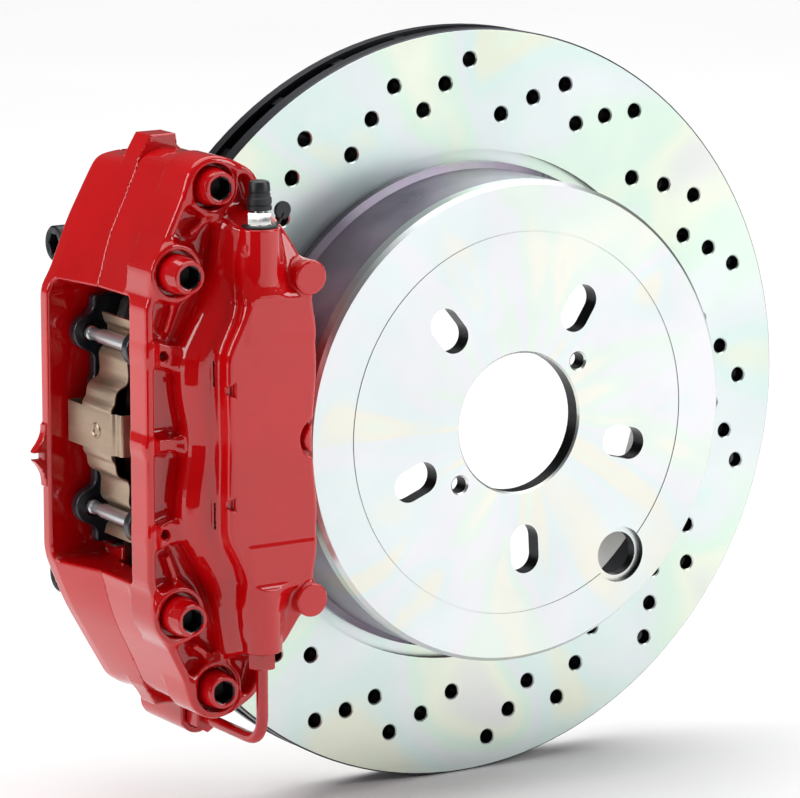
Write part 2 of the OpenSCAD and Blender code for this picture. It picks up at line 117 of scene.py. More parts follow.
@dataclass(frozen=True)
class Finish:
    """A surface finish: one principled shader with a fine relief and a slow change of tone.

    A pattern's size is the distance between its marks in millimetres.
    """

    title: str
    colour: str
    second: str
    metallic: float = 0.0
    roughness: float = 0.4
    rough_change: float = 0.08
    tone_size: float = 30.0
    grain_size: float = 1.0
    relief: float = 0.02
    coat: float = 0.0
    coat_roughness: float = 0.06
    coat_ior: float = 1.5
    ior: float = 1.5
    specular: float = 0.5
    stretch: tuple[float, float, float] = (1.0, 1.0, 1.0)

    def material(self) -> bpy.types.Material:
        """Returns the finish's material, made once."""
        found = bpy.data.materials.get(self.title)
        return found or self.build()

    def build(self) -> bpy.types.Material:
        """Makes the material.

        Returns:
            The new material.
        """
        material = bpy.data.materials.new(self.title)
        material.use_nodes = True
        tree = material.node_tree
        tree.nodes.clear()
        place = add(tree, "ShaderNodeTexCoord").outputs["Object"]
        tone = self.tone(tree, place)
        shader = add(
            tree,
            "ShaderNodeBsdfPrincipled",
            {
                "Metallic": self.metallic,
                "Coat Weight": self.coat,
                "Coat Roughness": self.coat_roughness,
                "Coat IOR": self.coat_ior,
                "Specular IOR Level": self.specular,
            },
            {
                "Base Color": self.colour_output(tree, place, tone),
                "Roughness": self.rough_output(tree, place, tone),
                "Normal": self.relief_output(tree, place),
            },
        )
        if self.metallic < 0.5:
            shader.inputs["IOR"].default_value = self.ior
        add(tree, "ShaderNodeOutputMaterial", links={"Surface": shader.outputs[0]})
        return material

    def tone(
        self, tree: bpy.types.NodeTree, place: bpy.types.NodeSocket
    ) -> bpy.types.NodeSocket:
        """Slow noise that the colour and the roughness follow.

        Args:
            tree: the node tree.
            place: object coordinates.

        Returns:
            The noise's value.
        """
        spread = add(
            tree,
            "ShaderNodeMapping",
            {"Scale": self.stretch},
            {"Vector": place},
        )
        noise = add(
            tree,
            "ShaderNodeTexNoise",
            {"Scale": 1.0 / (self.tone_size * MM), "Detail": 3.0},
            {"Vector": spread.outputs[0]},
        )
        return noise.outputs[0]

    def colour_output(
        self,
        tree: bpy.types.NodeTree,
        place: bpy.types.NodeSocket,
        tone: bpy.types.NodeSocket,
    ) -> bpy.types.NodeSocket:
        """Blends the two colours by the tone.

        Args:
            tree: the node tree.
            place: object coordinates, not used here.
            tone: the slow noise.

        Returns:
            The colour.
        """
        ramp = add(tree, "ShaderNodeValToRGB", links={0: tone})
        low, high = ramp.color_ramp.elements
        low.position, high.position = TONE_RAMP
        low.color, high.color = linear(self.colour), linear(self.second)
        return ramp.outputs[0]

    def rough_output(
        self,
        tree: bpy.types.NodeTree,
        place: bpy.types.NodeSocket,
        tone: bpy.types.NodeSocket,
    ) -> bpy.types.NodeSocket:
        """Lets the roughness change a little with the tone.

        Args:
            tree: the node tree.
            place: object coordinates, not used here.
            tone: the slow noise.

        Returns:
            The roughness.
        """
        span = add(
            tree,
            "ShaderNodeMapRange",
            {
                "From Min": TONE_SPAN[0],
                "From Max": TONE_SPAN[1],
                "To Min": max(0.02, self.roughness - self.rough_change),
                "To Max": self.roughness + self.rough_change,
            },
            {"Value": tone},
        )
        return span.outputs[0]

    def relief_output(
        self, tree: bpy.types.NodeTree, place: bpy.types.NodeSocket
    ) -> bpy.types.NodeSocket:
        """Fine relief of the surface.

        Args:
            tree: the node tree.
            place: object coordinates.

        Returns:
            The bumped normal.
        """
        spread = add(
            tree,
            "ShaderNodeMapping",
            {"Scale": self.stretch},
            {"Vector": place},
        )
        grain = add(
            tree,
            "ShaderNodeTexNoise",
            {"Scale": 1.0 / (self.grain_size * MM), "Detail": 2.0},
            {"Vector": spread.outputs[0]},
        )
        bump = add(
            tree,
            "ShaderNodeBump",
            {"Strength": 1.0, "Distance": self.relief * MM},
            {"Height": grain.outputs[0]},
        )
        return bump.outputs[0]


@dataclass(frozen=True)
class TurnedFinish(Finish):
    """Metal turned or ground about the disc's axis, with rings of tool marks.

    The marks are noise on (radius, y), so they run round the axis. A hue noise with few waves in
    turn and radius gives the faint rainbow of thin clear zinc plating and its streaks.
    """

    ring_size: float = 0.9
    ring_relief: float = 0.012
    hues: tuple[str, ...] = ()
    hue_share: float = 0.5
    # The rim beyond a radius gets this darker colour; a band of y inside the vents gets it too, as
    # painted shade.
    rim_colour_and_vent_shade: str = ""
    edge_radius: float = 0.0
    vent_shade_low: float = 0.0
    vent_shade_high: float = 0.0
    # Sideways faces within the reach get this dark colour: painted shade in holes, slots, bores
    # and vents.
    wall_shade_colour: str = ""
    wall_reach: float = 0.0
    track_colour: str = ""
    track_low: float = 0.0
    track_high: float = 0.0

    def radius(
        self, tree: bpy.types.NodeTree, place: bpy.types.NodeSocket
    ) -> tuple[bpy.types.NodeSocket, bpy.types.NodeSocket]:
        """Distance from the disc's axis, and y.

        Args:
            tree: the node tree.
            place: object coordinates.

        Returns:
            The radius and y, both in metres.
        """
        flat = add(
            tree,
            "ShaderNodeVectorMath",
            {"operation": "MULTIPLY", 1: (1.0, 0.0, 1.0)},
            {0: place},
        )
        length = add(
            tree, "ShaderNodeVectorMath", {"operation": "LENGTH"}, {0: flat.outputs[0]}
        )
        split = add(tree, "ShaderNodeSeparateXYZ", links={0: place})
        return length.outputs["Value"], split.outputs["Y"]

    def colour_output(
        self,
        tree: bpy.types.NodeTree,
        place: bpy.types.NodeSocket,
        tone: bpy.types.NodeSocket,
    ) -> bpy.types.NodeSocket:
        """Adds the plating's hues, a darker colour on the rim, painted shade on sideways walls and
        inside the vents, and the bright track.

        Args:
            tree: the node tree.
            place: object coordinates.
            tone: the slow noise.

        Returns:
            The colour.
        """
        base = Finish.colour_output(self, tree, place, tone)
        radius, y = self.radius(tree, place)
        if self.hues:
            split = add(tree, "ShaderNodeSeparateXYZ", links={0: place})
            turn = add(
                tree,
                "ShaderNodeMath",
                {"operation": "ARCTAN2"},
                {0: split.outputs["Z"], 1: split.outputs["X"]},
            )
            fold = add(
                tree,
                "ShaderNodeCombineXYZ",
                links={0: turn.outputs[0], 1: radius},
            )
            streak = add(
                tree,
                "ShaderNodeVectorMath",
                {"operation": "MULTIPLY", 1: HUE_WAVES},
                {0: fold.outputs[0]},
            )
            waves = add(
                tree,
                "ShaderNodeTexNoise",
                {"Scale": 1.0, "Detail": 2.0, "Distortion": 0.4},
                {"Vector": streak.outputs[0]},
            )
            ramp = add(tree, "ShaderNodeValToRGB", links={0: waves.outputs[0]})
            ramp.color_ramp.interpolation = "EASE"
            stops = ramp.color_ramp.elements
            stops[0].position, stops[0].color = HUE_LOW, linear(self.hues[0])
            stops[1].position, stops[1].color = HUE_HIGH, linear(self.hues[-1])
            inner = self.hues[1:-1]
            for i, hue in enumerate(inner):
                stop = stops.new(HUE_LOW + HUE_SPAN * (i + 1) / (len(inner) + 1))
                stop.color = linear(hue)
            tint = add(
                tree,
                "ShaderNodeMix",
                {"data_type": "RGBA", "blend_type": "MULTIPLY", 0: self.hue_share},
                {6: base, 7: ramp.outputs[0]},
            )
            base = tint.outputs[2]
        # A darker colour on the rim, and painted shade in the band of y inside the vents.
        if self.rim_colour_and_vent_shade:
            rim = self.between(tree, radius, self.edge_radius, BEYOND)
            vent_shade = self.between(tree, y, self.vent_shade_low, self.vent_shade_high)
            dark = add(tree, "ShaderNodeMath", {"operation": "MAXIMUM"}, {0: rim, 1: vent_shade})
            base = self.painted(tree, base, dark.outputs[0], self.rim_colour_and_vent_shade)
        # Painted shade: sideways faces within the reach are coloured dark, as if in shadow.
        if self.wall_shade_colour:
            normal = add(tree, "ShaderNodeNewGeometry").outputs["True Normal"]
            facing = add(tree, "ShaderNodeSeparateXYZ", links={0: normal}).outputs["Y"]
            sideways = self.between(tree, facing, -WALL_TILT, WALL_TILT)
            inside = self.between(tree, radius, 0.0, self.wall_reach)
            wall = self.product(tree, sideways, inside)
            base = self.painted(tree, base, wall, self.wall_shade_colour)
        if self.track_colour:
            inside = self.between(tree, radius, 0.0, self.wall_reach)
            track = self.between(tree, y, self.track_low, self.track_high)
            track = self.product(tree, inside, track)
            base = self.painted(tree, base, track, self.track_colour)
        return base

    @staticmethod
    def between(
        tree: bpy.types.NodeTree, value: bpy.types.NodeSocket, low: float, high: float
    ) -> bpy.types.NodeSocket:
        """Is 1 where a value lies between two thousandths, such as millimetres of a metre.

        Args:
            tree: the node tree.
            value: the value.
            low: the lower limit, in thousandths.
            high: the higher limit, in thousandths.

        Returns:
            1 between the limits and 0 elsewhere.
        """
        above = add(
            tree,
            "ShaderNodeMath",
            {"operation": "GREATER_THAN", 1: low * MM},
            {0: value},
        )
        below = add(
            tree,
            "ShaderNodeMath",
            {"operation": "LESS_THAN", 1: high * MM},
            {0: value},
        )
        return TurnedFinish.product(tree, above.outputs[0], below.outputs[0])

    @staticmethod
    def product(
        tree: bpy.types.NodeTree, a: bpy.types.NodeSocket, b: bpy.types.NodeSocket
    ) -> bpy.types.NodeSocket:
        """Multiplies two values.

        Args:
            tree: the node tree.
            a: the first value.
            b: the second value.

        Returns:
            Their product.
        """
        both = add(tree, "ShaderNodeMath", {"operation": "MULTIPLY"}, {0: a, 1: b})
        return both.outputs[0]

    @staticmethod
    def painted(
        tree: bpy.types.NodeTree,
        base: bpy.types.NodeSocket,
        share: bpy.types.NodeSocket,
        colour: str,
    ) -> bpy.types.NodeSocket:
        """Lays a plain colour over another by a share.

        Args:
            tree: the node tree.
            base: the colour underneath.
            share: 1 where the plain colour covers it.
            colour: the plain colour, six hex digits.

        Returns:
            The colour.
        """
        mix = add(
            tree,
            "ShaderNodeMix",
            {"data_type": "RGBA", 7: linear(colour)},
            {0: share, 6: base},
        )
        return mix.outputs[2]

    def relief_output(
        self, tree: bpy.types.NodeTree, place: bpy.types.NodeSocket
    ) -> bpy.types.NodeSocket:
        """Rings of tool marks about the axis.

        Args:
            tree: the node tree.
            place: object coordinates.

        Returns:
            The bumped normal.
        """
        radius, y = self.radius(tree, place)
        fold = add(tree, "ShaderNodeCombineXYZ", links={0: radius, 1: y})
        rings = add(
            tree,
            "ShaderNodeTexNoise",
            {"Scale": 1.0 / (self.ring_size * MM), "Detail": 3.0},
            {"Vector": fold.outputs[0]},
        )
        bump = add(
            tree,
            "ShaderNodeBump",
            {"Strength": 1.0, "Distance": self.ring_relief * MM},
            {"Height": rings.outputs[0]},
        )
        return bump.outputs[0]


# Two-coat enamel baked on cast aluminium: wet gloss over a faint orange peel.
RED_ENAMEL = Finish(
    "red_enamel_on_cast_aluminium",
    "B80004",
    "C60008",
    roughness=0.5,
    rough_change=0.04,
    tone_size=45.0,
    grain_size=1.6,
    relief=0.008,
    coat=1.0,
    coat_roughness=0.05,
    coat_ior=1.6,
    specular=0.05,
)
# The same enamel, a little darker where it is thin on turned steel.
RED_SCREW = Finish(
    "red_enamel_on_steel",
    "AC0006",
    "BC000A",
    roughness=0.45,
    rough_change=0.04,
    tone_size=12.0,
    grain_size=1.0,
    relief=0.006,
    coat=1.0,
    coat_roughness=0.05,
    coat_ior=1.6,
    specular=0.05,
)
PASTEL_HUES = ("F4E6F2", "FFF9EC", "E6F7EF", "F3EEFF", "E4F2FB", "FBF1E2", "F0FAEC")
# Grey iron, ground flat and clear zinc plated: nearly white, with a faint rainbow.
GROUND_ZINC = TurnedFinish(
    "zinc_plated_ground_iron",
    "DDE8DF",
    "EAF3EA",
    metallic=1.0,
    roughness=0.34,
    rough_change=0.03,
    tone_size=70.0,
    ring_size=0.8,
    ring_relief=0.010,
    hues=PASTEL_HUES,
    hue_share=0.62,
    # A darker rim, and painted shade inside the vents.
    rim_colour_and_vent_shade="4C4D52",
    edge_radius=157.35,
    vent_shade_low=40.7,
    vent_shade_high=49.3,
    # Painted shade on sideways faces, such as the walls of the drilled holes.
    wall_shade_colour="26272A",
    wall_reach=157.0,
)
# The hat's face: finer turning than the friction ring.
TURNED_ZINC = TurnedFinish(
    "zinc_plated_turned_iron",
    "E2E6E2",
    "EEF0EC",
    metallic=1.0,
    roughness=0.33,
    rough_change=0.03,
    tone_size=60.0,
    ring_size=0.6,
    ring_relief=0.008,
    hues=PASTEL_HUES,
    hue_share=0.5,
    # Painted shade on sideways faces, such as the walls of the stud holes.
    wall_shade_colour="26272A",
    wall_reach=99.0,
)
# The drum's outside is cast, and its plating's darker blue grey is painted reflection of the dim
# surroundings. Inside it, the brake track is turned bright, and the corner and the mouth are dark
# with painted shade.
CAST_ZINC = TurnedFinish(
    "zinc_plated_cast_iron",
    "8E8494",
    "A89EAA",
    metallic=0.6,
    roughness=0.32,
    rough_change=0.06,
    tone_size=22.0,
    ring_size=1.6,
    ring_relief=0.02,
    hues=PASTEL_HUES,
    hue_share=0.6,
    # Painted shade on sideways faces within the reach.
    wall_shade_colour="303136",
    wall_reach=98.0,
    track_colour="F4F4F0",
    track_low=19.0,
    track_high=46.0,
)
BLACK_OXIDE = Finish(
    "black_oxide_steel",
    "17181B",
    "222428",
    metallic=0.55,
    roughness=0.36,
    tone_size=8.0,
    grain_size=0.6,
    relief=0.01,
)
ZINC_STEEL = Finish(
    "bright_zinc_steel",
    "D6D7D6",
    "E6E6E2",
    metallic=1.0,
    roughness=0.24,
    tone_size=6.0,
    grain_size=0.5,
    relief=0.006,
)
GROUND_STEEL = Finish(
    "ground_pin_steel",
    "C8CACE",
    "DCDEE0",
    metallic=0.9,
    roughness=0.34,
    tone_size=8.0,
    grain_size=0.5,
    relief=0.006,
    stretch=(1.0, 0.08, 1.0),
)
# Cold rolled strip with a straw colour from tempering.
TEMPERED_STRIP = Finish(
    "tempered_spring_strip",
    "9C8874",
    "B39D88",
    metallic=0.85,
    roughness=0.36,
    rough_change=0.05,
    tone_size=9.0,
    grain_size=0.5,
    relief=0.008,
    stretch=(1.0, 0.2, 1.0),
)
ANODISED = Finish(
    "hard_anodised_aluminium",
    "9A9CA1",
    "ACAEB2",
    metallic=0.9,
    roughness=0.32,
    tone_size=12.0,
    grain_size=0.6,
    relief=0.006,
)
EPDM = Finish(
    "epdm_rubber",
    "0F1216",
    "1A1E24",
    roughness=0.46,
    tone_size=6.0,
    grain_size=0.4,
    relief=0.015,
    ior=1.52,
)
PAD_BACK = Finish(
    "powder_coated_pad_steel",
    "0B1016",
    "131A22",
    roughness=0.34,
    tone_size=14.0,
    grain_size=0.7,
    relief=0.03,
    coat=0.25,
    coat_roughness=0.2,
)
PAD_FRICTION = Finish(
    "semi_metallic_friction",
    "24211F",
    "3E3A36",
    roughness=0.82,
    rough_change=0.1,
    tone_size=1.2,
    grain_size=0.8,
    relief=0.12,
)
YELLOW_CAP = Finish(
    "yellow_polyethylene",
    "D9AE1C",
    "E4BC2E",
    roughness=0.42,
    tone_size=8.0,
    grain_size=0.6,
    relief=0.01,
)
PALE_FLOOR = Finish(
    "pale_studio_floor",
    "F6F6F6",
    "F8F8F8",
    roughness=0.7,
    rough_change=0.02,
    tone_size=400.0,
    grain_size=4.0,
    relief=0.01,
    specular=0.2,
)
BLACK_CARD = Finish(
    "black_velvet_card",
    "060606",
    "080808",
    roughness=0.95,
    rough_change=0.02,
    tone_size=200.0,
    grain_size=2.0,
    relief=0.01,
    specular=0.0,
)


# ---------------------------------------------------------------- meshes


# The angle between two faces that still looks smooth, in radians.
SMOOTH_LIMIT = math.radians(32)


class Axis(Enum):
    """The direction that a turned piece's axis points in."""

    X = "x"
    Y = "y"
    Z = "z"


@dataclass
class Surface:
    """A mesh in the making: points in millimetres and faces of point numbers."""

    points: np.ndarray
    faces: list | np.ndarray

    def moved(self, x: float, y: float, z: float) -> "Surface":
        """Returns the surface moved by x, y, z."""
        return Surface(self.points + np.array([x, y, z], float), self.faces)

    def mirrored(self, axis: int) -> "Surface":
        """Returns the mirror image along axis 0, 1 or 2, its faces turned outwards again."""
        points = self.points.copy()
        points[:, axis] *= -1
        return Surface(points, [tuple(reversed(f)) for f in self.faces])


def joined(parts: Sequence[Surface]) -> Surface:
    """Puts several surfaces in one.

    Args:
        parts: the surfaces.

    Returns:
        One surface with all their points and faces.
    """
    points, faces, start = [], [], 0
    for part in parts:
        points.append(part.points)
        faces.extend(tuple(int(i) + start for i in f) for f in part.faces)
        start += len(part.points)
    return Surface(np.vstack(points), faces)


def make_piece(
    name: str,
    surface: Surface,
    finish: Finish,
    body: str,
    nodes: Sequence[str],
    normals: np.ndarray | None = None,
) -> bpy.types.Object:
    """Makes an object of a surface and hands it to the frame.

    Args:
        name: the piece's name.
        surface: its surface, in millimetres.
        finish: its finish.
        body: the body that it rides on.
        nodes: the CAD nodes that it stands for.
        normals: one unit normal for each point, or none to smooth by angle.

    Returns:
        The new object.
    """
    mesh = bpy.data.meshes.new(name)
    faces = surface.faces
    if isinstance(faces, np.ndarray):
        faces = faces.tolist()
    mesh.from_pydata((surface.points * MM).tolist(), [], faces)
    mesh.validate()
    if normals is None:
        face_outwards(mesh)
    piece = bpy.data.objects.new(name, mesh)
    bpy.context.scene.collection.objects.link(piece)
    mesh.materials.append(finish.material())
    if normals is None:
        smooth_by_angle(mesh, SMOOTH_LIMIT)
    else:
        mesh.polygons.foreach_set("use_smooth", np.ones(len(mesh.polygons), bool))
        mesh.normals_split_custom_set_from_vertices(normals.tolist())
    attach(piece, body)
    if nodes:
        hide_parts(*nodes)
    log.info("%s: %d points, rides on %s", name, len(mesh.vertices), body)
    return piece


def face_outwards(mesh: bpy.types.Mesh) -> None:
    """Turns the faces of closed shells outwards.

    Args:
        mesh: the mesh.
    """
    work = bmesh.new()
    work.from_mesh(mesh)
    bmesh.ops.recalc_face_normals(work, faces=work.faces)
    work.to_mesh(mesh)
    work.free()


def smooth_by_angle(mesh: bpy.types.Mesh, limit: float) -> None:
    """Shades the mesh smooth, with edges sharper than a limit kept sharp.

    Args:
        mesh: the mesh.
        limit: the angle between faces that still looks smooth, in radians.
    """
    mesh.polygons.foreach_set("use_smooth", np.ones(len(mesh.polygons), bool))
    mesh.set_sharp_from_angle(angle=limit)
    mesh.update()


def hexagon_share(angle: np.ndarray) -> np.ndarray:
    """Radius of a hexagon with corners at radius 1: cos(30 deg) / cos(angle from a flat's middle).

    Args:
        angle: angles in radians.

    Returns:
        The radius at each angle.
    """
    sixth = math.pi / 3
    offset = np.mod(angle, sixth) - sixth / 2
    return math.cos(sixth / 2) / np.cos(offset)


def turned(
    profile: Sequence[tuple[float, ...]], axis: Axis, segments: int = 96
) -> Surface:
    """Revolves a profile about an axis.

    Point (i, j) has radius r_i * (1 - h_i + h_i * hexagon(angle_j)), where h_i is how far ring i
    is a hexagon. A profile that starts and ends on the axis gives a closed solid. The profile
    runs so that the solid is on its left when the axis points up.

    Args:
        profile: (radius, height) or (radius, height, hexagon share) of each ring, in mm.
        axis: the axis that height runs along.
        segments: points in a ring, a multiple of 6.

    Returns:
        The surface.
    """
    rings = np.array([(*p, 0.0)[:3] for p in profile], float)
    angle = np.arange(segments) * 2 * math.pi / segments
    share = 1 - rings[:, 2:3] + rings[:, 2:3] * hexagon_share(angle)[None, :]
    radius = rings[:, 0:1] * share
    across, up = radius * np.cos(angle), radius * np.sin(angle)
    height = np.repeat(rings[:, 1:2], segments, axis=1)
    order = {
        Axis.X: (height, across, up),
        Axis.Y: (up, height, across),
        Axis.Z: (across, up, height),
    }[axis]
    grid = np.stack(order, axis=-1)
    count = len(rings)
    index = np.arange(count * segments).reshape(count, segments)
    nxt = np.roll(index, -1, axis=1)
    quads = np.stack([index[:-1], nxt[:-1], nxt[1:], index[1:]], axis=-1).reshape(-1, 4)
    return welded(grid.reshape(-1, 3), quads)


def welded(points: np.ndarray, quads: np.ndarray, size: float = 1e-4) -> Surface:
    """Merges points that lie together and drops the faces that this flattens.

    Args:
        points: the points, in mm.
        quads: four point numbers for each face.
        size: points closer than this are one, in mm.

    Returns:
        The closed surface.
    """
    keys = np.round(points / size).astype(np.int64)
    _, first, back = np.unique(keys, axis=0, return_index=True, return_inverse=True)
    back = back.reshape(-1)
    faces = []
    for quad in back[quads].tolist():
        ring = [q for i, q in enumerate(quad) if q != quad[i - 1]]
        if len(ring) > 2:
            faces.append(tuple(ring))
    return Surface(points[first], faces)


def swept(path: np.ndarray, section: np.ndarray, side: Sequence[float]) -> Surface:
    """Carries a closed section along a path.

    Point (i, j) = path_i + section_j0 * side_i + section_j1 * (side_i x tangent_i).

    Args:
        path: the path's points, in mm.
        section: the section's outline, counter-clockwise, as (side, other) pairs in mm.
        side: a direction that stays across the path.

    Returns:
        The surface, with its two ends closed.
    """
    path = np.asarray(path, float)
    tangent = np.gradient(path, axis=0)
    tangent /= np.linalg.norm(tangent, axis=1, keepdims=True)
    across = np.asarray(side, float)[None, :]
    across = across - np.sum(across * tangent, axis=1, keepdims=True) * tangent
    across /= np.linalg.norm(across, axis=1, keepdims=True)
    other = np.cross(tangent, across)
    grid = (
        path[:, None]
        + section[None, :, 0:1] * across[:, None]
        + section[None, :, 1:2] * other[:, None]
    )
    count, around = grid.shape[:2]
    index = np.arange(count * around).reshape(count, around)
    nxt = np.roll(index, -1, axis=1)
    quads = np.stack([index[:-1], nxt[:-1], nxt[1:], index[1:]], axis=-1).reshape(-1, 4)
    faces = [tuple(q) for q in quads.tolist()]
    faces.append(tuple(reversed(index[0].tolist())))
    faces.append(tuple(index[-1].tolist()))
    return Surface(grid.reshape(-1, 3), faces)


def rounded_path(corners: Sequence[Sequence[float]], radius: float) -> np.ndarray:
    """A polyline with its corners rounded: each corner is a quadratic curve between two cuts.

    Args:
        corners: the corners, in mm.
        radius: distance from a corner to where its curve starts, in mm.

    Returns:
        The path's points.
    """
    corners = np.asarray(corners, float)
    share = np.linspace(0, 1, 9)[:, None]
    parts = [corners[:1]]
    for before, here, after in zip(corners[:-2], corners[1:-1], corners[2:]):
        to_before, to_after = before - here, after - here
        cut = min(
            radius, np.linalg.norm(to_before) * 0.49, np.linalg.norm(to_after) * 0.49
        )
        start = here + to_before / np.linalg.norm(to_before) * cut
        end = here + to_after / np.linalg.norm(to_after) * cut
        parts.append(
            (1 - share) ** 2 * start + 2 * share * (1 - share) * here + share**2 * end
        )
    parts.append(corners[-1:])
    return np.vstack(parts)


# ---------------------------------------------------------------- solids as distances


def fillet_join(a: np.ndarray, b: np.ndarray, radius: float) -> np.ndarray:
    """Union of two distance fields with a fillet in the inner corner.

    It is max(r, min(a, b)) - hypot(max(r - a, 0), max(r - b, 0)).

    Args:
        a: one field, in mm.
        b: the other field.
        radius: the fillet's radius r.

    Returns:
        The joined field.
    """
    return np.maximum(radius, np.minimum(a, b)) - np.hypot(
        np.maximum(radius - a, 0), np.maximum(radius - b, 0)
    )


def round_common(a: np.ndarray, b: np.ndarray, radius: float) -> np.ndarray:
    """Common part of two distance fields with its outer edge rounded.

    It is min(-r, max(a, b)) + hypot(max(a + r, 0), max(b + r, 0)).

    Args:
        a: one field, in mm.
        b: the other field.
        radius: the edge's radius r.

    Returns:
        The common field.
    """
    return np.minimum(-radius, np.maximum(a, b)) + np.hypot(
        np.maximum(a + radius, 0), np.maximum(b + radius, 0)
    )


def round_cut(a: np.ndarray, b: np.ndarray, radius: float) -> np.ndarray:
    """Field a with b cut out of it, and the cut's edge rounded."""
    return round_common(a, -b, radius)


def outline_distance(outline: np.ndarray, x: np.ndarray, z: np.ndarray) -> np.ndarray:
    """Signed distance to a closed outline: nearest edge's distance, negative inside.

    Args:
        outline: (x, z) corners, in mm.
        x: x of the points.
        z: z of the points.

    Returns:
        The distance at each point.
    """
    x, z = np.broadcast_arrays(x, z)
    best = np.full(x.shape, np.inf)
    inside = np.zeros(x.shape, bool)
    for (ax, az), (bx, bz) in zip(outline, np.roll(outline, -1, axis=0)):
        ex, ez = bx - ax, bz - az
        length = ex * ex + ez * ez
        if length < 1e-12:
            continue
        t = np.clip(((x - ax) * ex + (z - az) * ez) / length, 0, 1)
        best = np.minimum(best, (x - ax - t * ex) ** 2 + (z - az - t * ez) ** 2)
        crosses = (az > z) != (bz > z)
        side = ax + (z - az) * ex / (ez if abs(ez) > 1e-12 else 1e-12)
        inside ^= crosses & (x < side)
    return np.where(inside, -1.0, 1.0) * np.sqrt(best)


def rounded_outline(
    corners: Sequence[Sequence[float]], radius: float, steps: int = 5
) -> np.ndarray:
    """A closed outline with each corner turned into a curve.

    Args:
        corners: (x, z) corners, in mm.
        radius: distance from a corner to where its curve starts, in mm.
        steps: points on each curve.

    Returns:
        The rounded outline.
    """
    corners = np.asarray(corners, float)
    share = np.linspace(0, 1, steps)[:, None]
    parts = []
    for i, here in enumerate(corners):
        to_before = corners[i - 1] - here
        to_after = corners[(i + 1) % len(corners)] - here
        lengths = np.linalg.norm(to_before), np.linalg.norm(to_after)
        cut = min(radius, lengths[0] * 0.45, lengths[1] * 0.45)
        start = here + to_before / lengths[0] * cut
        end = here + to_after / lengths[1] * cut
        parts.append(
            (1 - share) ** 2 * start + 2 * share * (1 - share) * here + share**2 * end
        )
    return np.vstack(parts)


def both_ends(corners: Sequence[Sequence[float]]) -> list[list[float]]:
    """One end's outline, closed by its mirror image in z.

    Args:
        corners: (x, z) corners from the left middle over the end to the right middle.

    Returns:
        The whole outline.
    """
    mirror = [[x, -z] for x, z in reversed(corners) if z > 0]
    return [list(c) for c in corners] + mirror


Field = Callable[[np.ndarray, np.ndarray, np.ndarray], np.ndarray]

# How often, and by what share of its distance, a point is moved onto the surface.
SETTLE_STEPS = 2
SETTLE_SHARE = 0.8
# The slope is measured this share of a grid step either side, and is never taken as flatter.
PROBE_SHARE = 0.2
LEAST_SLOPE = 0.2


def mesh_of_field(
    field: Field, low: Sequence[float], high: Sequence[float], step: float
) -> tuple[Surface, np.ndarray]:
    """Makes a closed mesh of a distance field's zero surface, as dual surface nets.

    Each grid cell that the surface crosses gets one point, the mean of its crossed edges' zero
    points. Each crossed grid edge gets a quad of the four cells around it. Points are then moved
    onto the surface along the field's gradient, which is also their normal.

    Args:
        field: the distance at x, y and z arrays, in mm.
        low: lowest corner of the grid, in mm.
        high: highest corner of the grid, in mm.
        step: the grid's step, in mm.

    Returns:
        The surface and its unit normals.
    """
    axes = [np.arange(a, b + step, step) for a, b in zip(low, high)]
    value = field(axes[0][:, None, None], axes[1][None, :, None], axes[2][None, None, :])
    value = np.broadcast_to(value, [len(a) for a in axes]).astype(np.float64)
    shape = np.array(value.shape)
    cells = shape - 1
    total = np.zeros((*cells, 3))
    count = np.zeros(cells)
    edges = []
    for axis in range(3):
        near = [slice(None)] * 3
        far = [slice(None)] * 3
        near[axis], far[axis] = slice(None, -1), slice(1, None)
        a, b = value[tuple(near)], value[tuple(far)]
        crossed = np.argwhere((a < 0) != (b < 0))
        at = tuple(crossed.T)
        share = a[at] / (a[at] - b[at])
        zero = crossed.astype(float)
        zero[:, axis] += share
        edges.append((axis, crossed, a[at] < 0))
        others = [k for k in range(3) if k != axis]
        for d0 in (0, -1):
            for d1 in (0, -1):
                cell = crossed.copy()
                cell[:, others[0]] += d0
                cell[:, others[1]] += d1
                good = np.all((cell >= 0) & (cell < cells), axis=1)
                where = tuple(cell[good].T)
                np.add.at(total, where, zero[good])
                np.add.at(count, where, 1)
    used = count > 0
    number = np.full(cells, -1)
    number[used] = np.arange(used.sum())
    points = total[used] / count[used][:, None] * step + np.array([a[0] for a in axes])
    quads = []
    for axis, crossed, inward in edges:
        first, second = [(1, 2), (2, 0), (0, 1)][axis]
        around = []
        for d0, d1 in ((-1, -1), (0, -1), (0, 0), (-1, 0)):
            cell = crossed.copy()
            cell[:, first] += d0
            cell[:, second] += d1
            cell = np.clip(cell, 0, cells - 1)
            around.append(number[tuple(cell.T)])
        quad = np.stack(around, axis=1)
        quad[~inward] = quad[~inward][:, ::-1]
        quads.append(quad[np.all(quad >= 0, axis=1)])
    faces = np.vstack(quads)
    for _ in range(SETTLE_STEPS):
        distance, gradient = field_slope(field, points, step)
        shift = np.clip(distance, -step, step)[:, None] * gradient
        points = points - SETTLE_SHARE * shift
    _, normals = field_slope(field, points, step)
    return Surface(points, faces), normals


